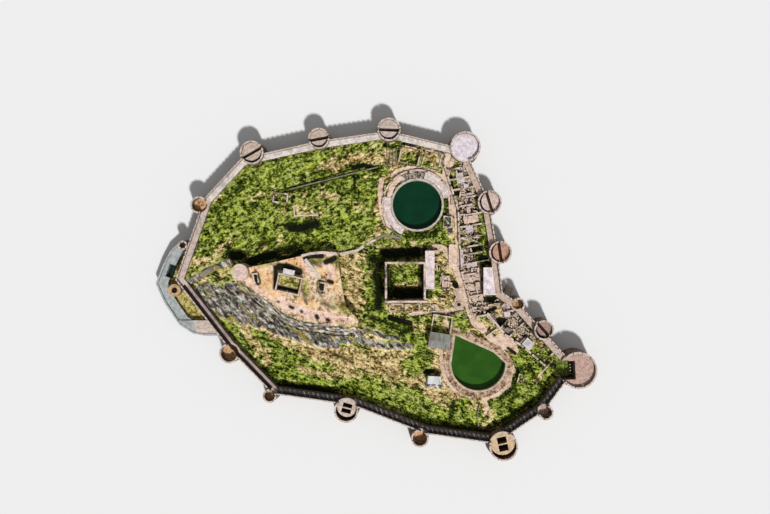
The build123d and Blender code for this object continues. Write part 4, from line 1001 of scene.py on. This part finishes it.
class FORT_OT_masonry(bpy.types.Operator):
    """Gives the walls and bastions their rubble faces and worn lime tops"""
    bl_idname = "fort.masonry"
    bl_label = "Masonry"

    def execute(self, context):
        look = context.scene.fort_masonry
        usual = {
            "dark": tuple(look.dark), "light": tuple(look.light), "stone": look.stone, "relief": look.relief
        }
        wet = {**usual, "algae": tuple(look.algae)}
        looks = {
            "parapet": ("parapet_lime", paint(238, 220, 206), {**usual, "dark": paint(78, 60, 50)}),
            "bastion_parapets": ("ring_lime", paint(234, 214, 200), {
                **usual, "dark": paint(70, 52, 44), "light": paint(140, 116, 98)}),
            "bastions": ("bastion_rubble", tuple(look.lime), {**wet, "floors": BASTION_FLOORS}),
            "curtain_north": ("north_walk", paint(250, 238, 230), wet),
            "curtain_west": ("west_walk", paint(196, 174, 170), {
                **wet, "change": ("Y", 0.15, paint(226, 206, 194))}),
            "curtain_east": ("east_walk", paint(226, 200, 182), wet),
            # The south walk's top is painted dark as the parapet's shadow, with pale bands as painted
            # sunlight through the crenels; north of Y -4.9 it is pale lime
            "curtain_south": ("south_walk_painted_light_and_shade", paint(62, 60, 62), {
                **wet, "change": ("Y", -4.9, paint(226, 204, 188)),
                "slabs": (0.26, math.radians(-21), paint(150, 148, 148))}),
            "outwork_platform": ("outwork_landing", paint(198, 204, 202), {
                **wet, "change": ("X", -11.55, paint(236, 216, 202))}),
            "citadel_stair": ("stair_stone", paint(255, 244, 238), {
                **usual, "slabs": (0.13, math.radians(45), paint(150, 120, 100))}),
            "well": ("well_stone", paint(236, 206, 186), {**usual, "floors": WELL_MOUTH_SHADE}),
            "outwork_tower": ("outwork_tower_stone", paint(222, 184, 140), wet),
            "outwork": ("outwork_stone", paint(198, 204, 202), {
                **wet, "dark": paint(66, 64, 58), "light": paint(150, 150, 144), "court": OUTWORK_COURT}),
            "": ("ruin_stone", paint(228, 206, 190), {**usual, "dark": paint(108, 88, 72)}),
        }
        finishes = {
            start: masonry_finish(name, lime=lime, **rest) for start, (name, lime, rest) in looks.items()
        }
        for name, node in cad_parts.items():
            dress(node, next(finish for start, finish in finishes.items() if name.startswith(start)))
        return {"FINISHED"}


class FORT_OT_roofs(bpy.types.Operator):
    """Finishes the roofs, slabs and paved bands"""
    bl_idname = "fort.roofs"
    bl_label = "Roofs and paving"

    def execute(self, context):
        dark = paint(120, 102, 90)
        for node, name, tint, *rest in (
            ("gatehouse_roof", "gatehouse_plaster", paint(244, 230, 234)),
            ("long_terrace_roof", "terrace_plaster", paint(238, 222, 220)),
            ("lane_house_roof", "lane_house_plaster", paint(214, 208, 206)),
            ("citadel_porch", "porch_plaster", paint(226, 220, 222)),
            ("street_ramp", "ramp_paving", paint(240, 212, 190), 0.16),
            ("tank_paving", "tank_slabs", paint(244, 228, 224), 0.20, paint(156, 126, 92)),
            ("citadel_turret", "turret_plaster", paint(230, 204, 188)),
            ("round_tank_lining", "round_coping", paint(214, 204, 192), 0.12),
            ("pear_tank_lining", "pear_coping", paint(222, 200, 176), 0.12),
        ):
            dress(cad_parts[node], plaster_finish(name, tint, dark, *rest))
        for node, name, tint, turn in (
            ("hall_roof", "hall_sheet", paint(150, 149, 143), 9),
            ("shed_roof", "shed_sheet", paint(226, 226, 224), 3)
        ):
            dress(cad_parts[node], sheet_finish(name, tint, math.radians(turn), 0.02))
        return {"FINISHED"}


class FORT_OT_wards(bpy.types.Operator):
    """Heaps and paints the ground of both wards"""
    bl_idname = "fort.wards"
    bl_label = "Wards"

    def execute(self, context):
        ground = context.scene.fort_ground
        for side, level, dryness, turn in (
            ("north", NORTH_WARD, -0.14, -25), ("south", SOUTH_WARD, -0.05, 20)
        ):
            name, node = f"ground_{side}", f"ward_{side}"
            shape = copy_of(node)
            dice(shape, ground.pitch)
            heap(shape, level, ground.relief, MOUND)
            finish = ground_finish(name, ground, level, dryness, math.radians(turn))
            paint_ground(piece(name, shape, finish, "earth", node).data, level)
        return {"FINISHED"}


class FORT_OT_knoll(bpy.types.Operator):
    """Breaks the citadel's rock into crags and paints its plateau"""
    bl_idname = "fort.knoll"
    bl_label = "Citadel rock"

    def execute(self, context):
        shape = copy_of("citadel_knoll")
        dice(shape, context.scene.fort_ground.pitch, 0.1)
        shape.normal_update()
        heap(shape, CITADEL, PLATEAU_RELIEF, PLATEAU_MOUND)
        low, high = 0.02, CITADEL - 0.02
        for corner in shape.verts:
            slope = 1 - abs(corner.normal.z)
            if low < corner.co.z < high and corner.normal.y < 0.35:
                at = corner.co / CRAG_SIZE
                crag = noise.cell(at * 1.7) * 0.5 + noise.fractal(at, 0.8, 2.1, 4) * 0.6
                outward = Vector((corner.normal.x, corner.normal.y, 0))
                corner.co += outward * crag * CRAG_REACH * min(1, 1.5 * slope)
        made = piece("citadel_crags", shape, rock_finish("citadel_rock"), "rock", "citadel_knoll")
        paint_ground(made.data, CITADEL)
        return {"FINISHED"}


class FORT_OT_ruins(bpy.types.Operator):
    """Crumbles the roofless walls"""
    bl_idname = "fort.ruins"
    bl_label = "Ruined walls"

    def execute(self, context):
        pitch, fallen = context.scene.fort_ruins.pitch, context.scene.fort_ruins.fallen
        light = tuple(context.scene.fort_masonry.light)
        usual = masonry_finish("broken_stone", paint(104, 84, 68), light, paint(238, 216, 198),
                               growth=paint(128, 120, 66))
        grey = masonry_finish(
            "yard_stone", paint(70, 64, 52), paint(140, 130, 112), paint(160, 150, 132), YARD_FLOOR
        )
        finishes = {"broken_walls": grey, "citadel_edge": bpy.data.materials["citadel_rock"]}
        for name, node, loss, size, swell in (
            ("ruined_rooms", "room_walls", 0.85, 0.55, 0.024),
            ("ruined_street", "street_walls", fallen, 0.45, 0.020),
            ("ruined_yards", "yard_ruins", 0.8 * fallen, 0.5, 0.012),
            ("broken_walls", "yard_walls", fallen, 0.4, 0.0),
            ("ruined_court", "court_walls", 0.6 * fallen, 0.5, 0.0),
            ("ruined_ring", "round_tank_ring_wall", fallen, 0.4, 0.02),
            ("roofless_house", "citadel_house", 0.35 * fallen, 0.4, 0.0),
            ("citadel_edge", "citadel_kerb", 0.98, 0.3, 0.0),
            ("palace_fronts", "palace_walls_north_south", 0.3 * fallen, 0.7, 0.0),
            ("palace_sides", "palace_walls_east_west", 0.6 * fallen, 0.7, 0.0),
        ):
            shape = copy_of(node)
            dice(shape, pitch, pitch)
            crumble(shape, loss, size, swell, node in ("room_walls", "yard_ruins"))
            made = piece(name, shape, finishes.get(name, usual), "ruin_masonry", node)
            if name == "citadel_edge":
                paint_ground(made.data, CITADEL)
        return {"FINISHED"}


class FORT_OT_slabs(bpy.types.Operator):
    """Lays the low roofs, floor slabs and lengths of wall that lie among the ruins"""
    bl_idname = "fort.slabs"
    bl_label = "Slabs and low walls"

    def execute(self, context):
        tints = {"pale_slabs": ("slab_lilac", 232, 216, 220), "tan_slabs": ("slab_tan", 240, 210, 190),
                 "grey_slabs": ("slab_grey", 158, 142, 134)}
        for name, slabs in SLABS.items():
            shape = bmesh.new()
            for level, high, *numbers in slabs:
                rim = [shape.verts.new((*corner, level - SUNK)) for corner in line(level, numbers)]
                thicken(shape, [shape.faces.new(reversed(rim))], high + SUNK)
            finish, *tint = tints[name]
            self.lay(name, shape, plaster_finish(finish, paint(*tint), paint(112, 94, 84), 0.14))
        shape = bmesh.new()
        for low, high, half, *numbers in LOW_WALLS:
            self.stretch(shape, low, high, half, line(low, numbers))
        pale = masonry_finish(
            "low_wall_stone", paint(112, 92, 76), paint(176, 152, 132), paint(244, 222, 212)
        )
        self.lay("low_walls", shape, pale)
        # A low step under the west parapet, in near-black stone painted as the parapet's shadow on the walk
        shape = bmesh.new()
        self.stretch(shape, WALL_WALK, WALL_WALK + STEP_HIGH, STEP_HALF, SHADOW_STEP)
        shadow_stone = masonry_finish("shadow_step_stone", paint(40, 32, 28), paint(80, 66, 58), paint(46, 36, 32))
        self.lay("shadow_step", shape, shadow_stone)
        return {"FINISHED"}

    def stretch(self, shape, low, high, half, points):
        """Lengths of wall from point to point."""
        for start, end in zip(points, points[1:]):
            reach = end - start
            size = (reach.length + half, 2 * half, high - low + SUNK)
            spot = (*((start + end) / 2), (low + high - SUNK) / 2)
            bmesh.ops.create_cube(shape, size=1, matrix=placed(spot, math.atan2(reach.y, reach.x), "Z", size))

    def lay(self, name, shape, finish):
        bmesh.ops.recalc_face_normals(shape, faces=shape.faces[:])
        dice(shape, 0.12)
        roughen(shape, 0.08, 0.012)
        piece(name, shape, finish, "ruin_masonry")


class FORT_OT_water(bpy.types.Operator):
    """Fills the two tanks and the outwork's pool"""
    bl_idname = "fort.water"
    bl_label = "Water"

    def execute(self, context):
        water = context.scene.fort_water
        low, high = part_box("round_tank_lining")
        murky = water_finish("round_tank_water", water.round_colour)
        clear = water_finish("pool_water", POOL_TINT)
        for name, finish, middle, size, turn, level in (
            ("round_water", murky, (low + high) / 2, (ROUND_WATER, ROUND_WATER), 0, water.round_level),
            ("pool_water", clear, POOL, POOL_HALF, POOL_TURN, water.pool_level),
        ):
            shape = bmesh.new()
            place = placed((middle.x, middle.y, 0), turn, "Z", (*size, 1))
            bmesh.ops.create_circle(shape, cap_ends=True, radius=1, segments=72, matrix=place)
            self.fill(name, shape, finish, level)
        shape = bmesh.new()
        start = shape.verts.new((PEAR_TANK.x + PEAR_WATER, PEAR_TANK.y, 0))
        bmesh.ops.spin(shape, geom=[start], cent=(*PEAR_TANK, 0), axis=(0, 0, -1), angle=math.pi, steps=48)
        shape.faces.new(shape.verts[:] + [shape.verts.new((*corner, 0)) for corner in PEAR_CORNERS])
        self.fill("pear_water", shape, water_finish("pear_tank_water", water.pear_colour), water.pear_level)
        return {"FINISHED"}

    def fill(self, name, shape, finish, level):
        """Makes a sheet of water of a flat shape, with its top at a level."""
        bmesh.ops.recalc_face_normals(shape, faces=shape.faces[:])
        bmesh.ops.translate(shape, verts=shape.verts[:], vec=(0, 0, level - WATER_THICK))
        thicken(shape, shape.faces[:], WATER_THICK)
        bmesh.ops.recalc_face_normals(shape, faces=shape.faces[:])
        piece(name, shape, finish, "lime_plaster")


class FORT_OT_stones(bpy.types.Operator):
    """Scatters fallen stones among the ruins and down the rock"""
    bl_idname = "fort.stones"
    bl_label = "Fallen stones"

    def execute(self, context):
        ruins = context.scene.fort_ruins
        pale = masonry_finish("fallen_stone", paint(96, 76, 60), paint(184, 156, 132), paint(238, 214, 196))
        grey = masonry_finish("fallen_rock", paint(92, 88, 80), paint(160, 154, 144), paint(180, 174, 164))
        draw = random.Random(ruins.seed)
        for name, (share, level, patch, sizes) in HEAPS.items():
            shape = bmesh.new()
            for _ in range(int(ruins.stones * share)):
                spot, size = self.within(draw, patch, level), draw.uniform(*sizes)
                place = placed(
                    (spot.x, spot.y, level + 0.4 * size + 0.02), draw.uniform(0, math.tau),
                    (draw.random(), draw.random(), 1),
                    (size, size * draw.uniform(0.6, 1), size * draw.uniform(0.45, 0.8)),
                )
                bmesh.ops.create_icosphere(shape, subdivisions=1, radius=1, matrix=place)
            roughen(shape, 0.03, 0.008)
            piece(name, shape, grey if patch == SLOPE else pale, "ruin_masonry")
        for name, (count, level, patch, turn) in STUBS.items():
            shape = bmesh.new()
            for _ in range(count):
                spot, high = self.within(draw, patch, level), draw.uniform(0.06, 0.26)
                place = placed(
                    (spot.x, spot.y, level + high / 2 - 0.02),
                    math.radians(turn + draw.choice((0, 90)) + draw.gauss(0, 4)), "Z",
                    (draw.uniform(0.12, 0.42), draw.uniform(0.06, 0.10), high),
                )
                bmesh.ops.create_cube(shape, size=1, matrix=place)
            bmesh.ops.subdivide_edges(shape, edges=shape.edges[:], cuts=2, use_grid_fill=True)
            roughen(shape, 0.06, 0.016)
            piece(name, shape, pale, "ruin_masonry")
        return {"FINISHED"}

    def within(self, draw, patch, level):
        """A spot in a four-cornered patch of the picture, where it meets a level."""
        first, second, third, fourth = line(level, patch)
        along, across = draw.random(), draw.random()
        return first.lerp(second, along).lerp(fourth.lerp(third, along), across)


class FORT_OT_stage(bpy.types.Operator):
    """Sets the floor, the light and the camera"""
    bl_idname = "fort.stage"
    bl_label = "Stage"

    def execute(self, context):
        stage, scene = context.scene.fort_stage, context.scene
        shape = bmesh.new()
        bmesh.ops.create_grid(shape, x_segments=1, y_segments=1, size=FLOOR_WIDE)
        bmesh.ops.translate(shape, verts=shape.verts[:], vec=(0, 0, -0.002))
        show("floor", shape, Finish("floor").close(stage.floor, 1.0))
        key = bpy.data.lights.new("key", "SUN")
        key.energy, key.angle = stage.key, SUN_WIDTH
        lamp = bpy.data.objects.new("key", key)
        toward = Vector((math.sin(SUN_BEARING), math.cos(SUN_BEARING), math.tan(SUN_HEIGHT)))
        lamp.rotation_euler = toward.to_track_quat("Z", "Y").to_euler()
        lens = bpy.data.cameras.new("camera")
        lens.sensor_fit, lens.angle, lens.clip_end = "HORIZONTAL", LENS_ANGLE, 500
        camera = bpy.data.objects.new("camera", lens)
        camera.location = EYE
        scene.collection.objects.link(lamp)
        scene.collection.objects.link(camera)
        scene.world, scene.camera = self.studio(stage.fill), camera
        scene.view_settings.view_transform = "Standard"
        return {"FINISHED"}

    def studio(self, fill):
        """Even light from all round, and plain white where the camera or a reflection sees past the floor."""
        world = bpy.data.worlds.new("studio")
        made = Nodes(world)
        ray = made.add("ShaderNodeLightPath", {}, {})
        seen = ray.math("MAXIMUM", ray.part("Is Camera Ray"), ray.part("Is Glossy Ray"))
        seen = ray.math("MAXIMUM", seen, ray.part("Is Transmission Ray"))
        light, white = (
            made.add("ShaderNodeBackground", {}, {"Color": (1, 1, 1, 1), "Strength": strength})
            for strength in (fill, 1.0)
        )
        blend = made.add("ShaderNodeMixShader", {}, {0: seen, 1: light, 2: white})
        made.add("ShaderNodeOutputWorld", {}, {"Surface": blend})
        return world


STEPS = [
    FORT_OT_masonry, FORT_OT_roofs, FORT_OT_wards, FORT_OT_knoll, FORT_OT_ruins, FORT_OT_slabs, FORT_OT_water,
    FORT_OT_stones, FORT_OT_stage,
]


class FORT_PT_panel(bpy.types.Panel):
    bl_idname = "FORT_PT_panel"
    bl_label = "Sea Fort"
    bl_space_type = "VIEW_3D"
    bl_region_type = "UI"
    bl_category = "Sea Fort"

    def draw(self, context):
        for name, group in SETTINGS.items():
            box = self.layout.box()
            for value in group.__annotations__:
                box.prop(getattr(context.scene, name), value)
        for step in STEPS:
            self.layout.operator(step.bl_idname)


def register():
    noise.seed_set(NOISE_SEED)
    for made in (*SETTINGS.values(), *STEPS, FORT_PT_panel):
        bpy.utils.register_class(made)
    for name, group in SETTINGS.items():
        setattr(bpy.types.Scene, name, PointerProperty(type=group))


def unregister():
    for name in SETTINGS:
        delattr(bpy.types.Scene, name)
    for made in reversed((*SETTINGS.values(), *STEPS, FORT_PT_panel)):
        bpy.utils.unregister_class(made)


def main():
    register()
    for step in STEPS:
        group, name = step.bl_idname.split(".")
        getattr(getattr(bpy.ops, group), name)()


if __name__ == "__main__":
    main()
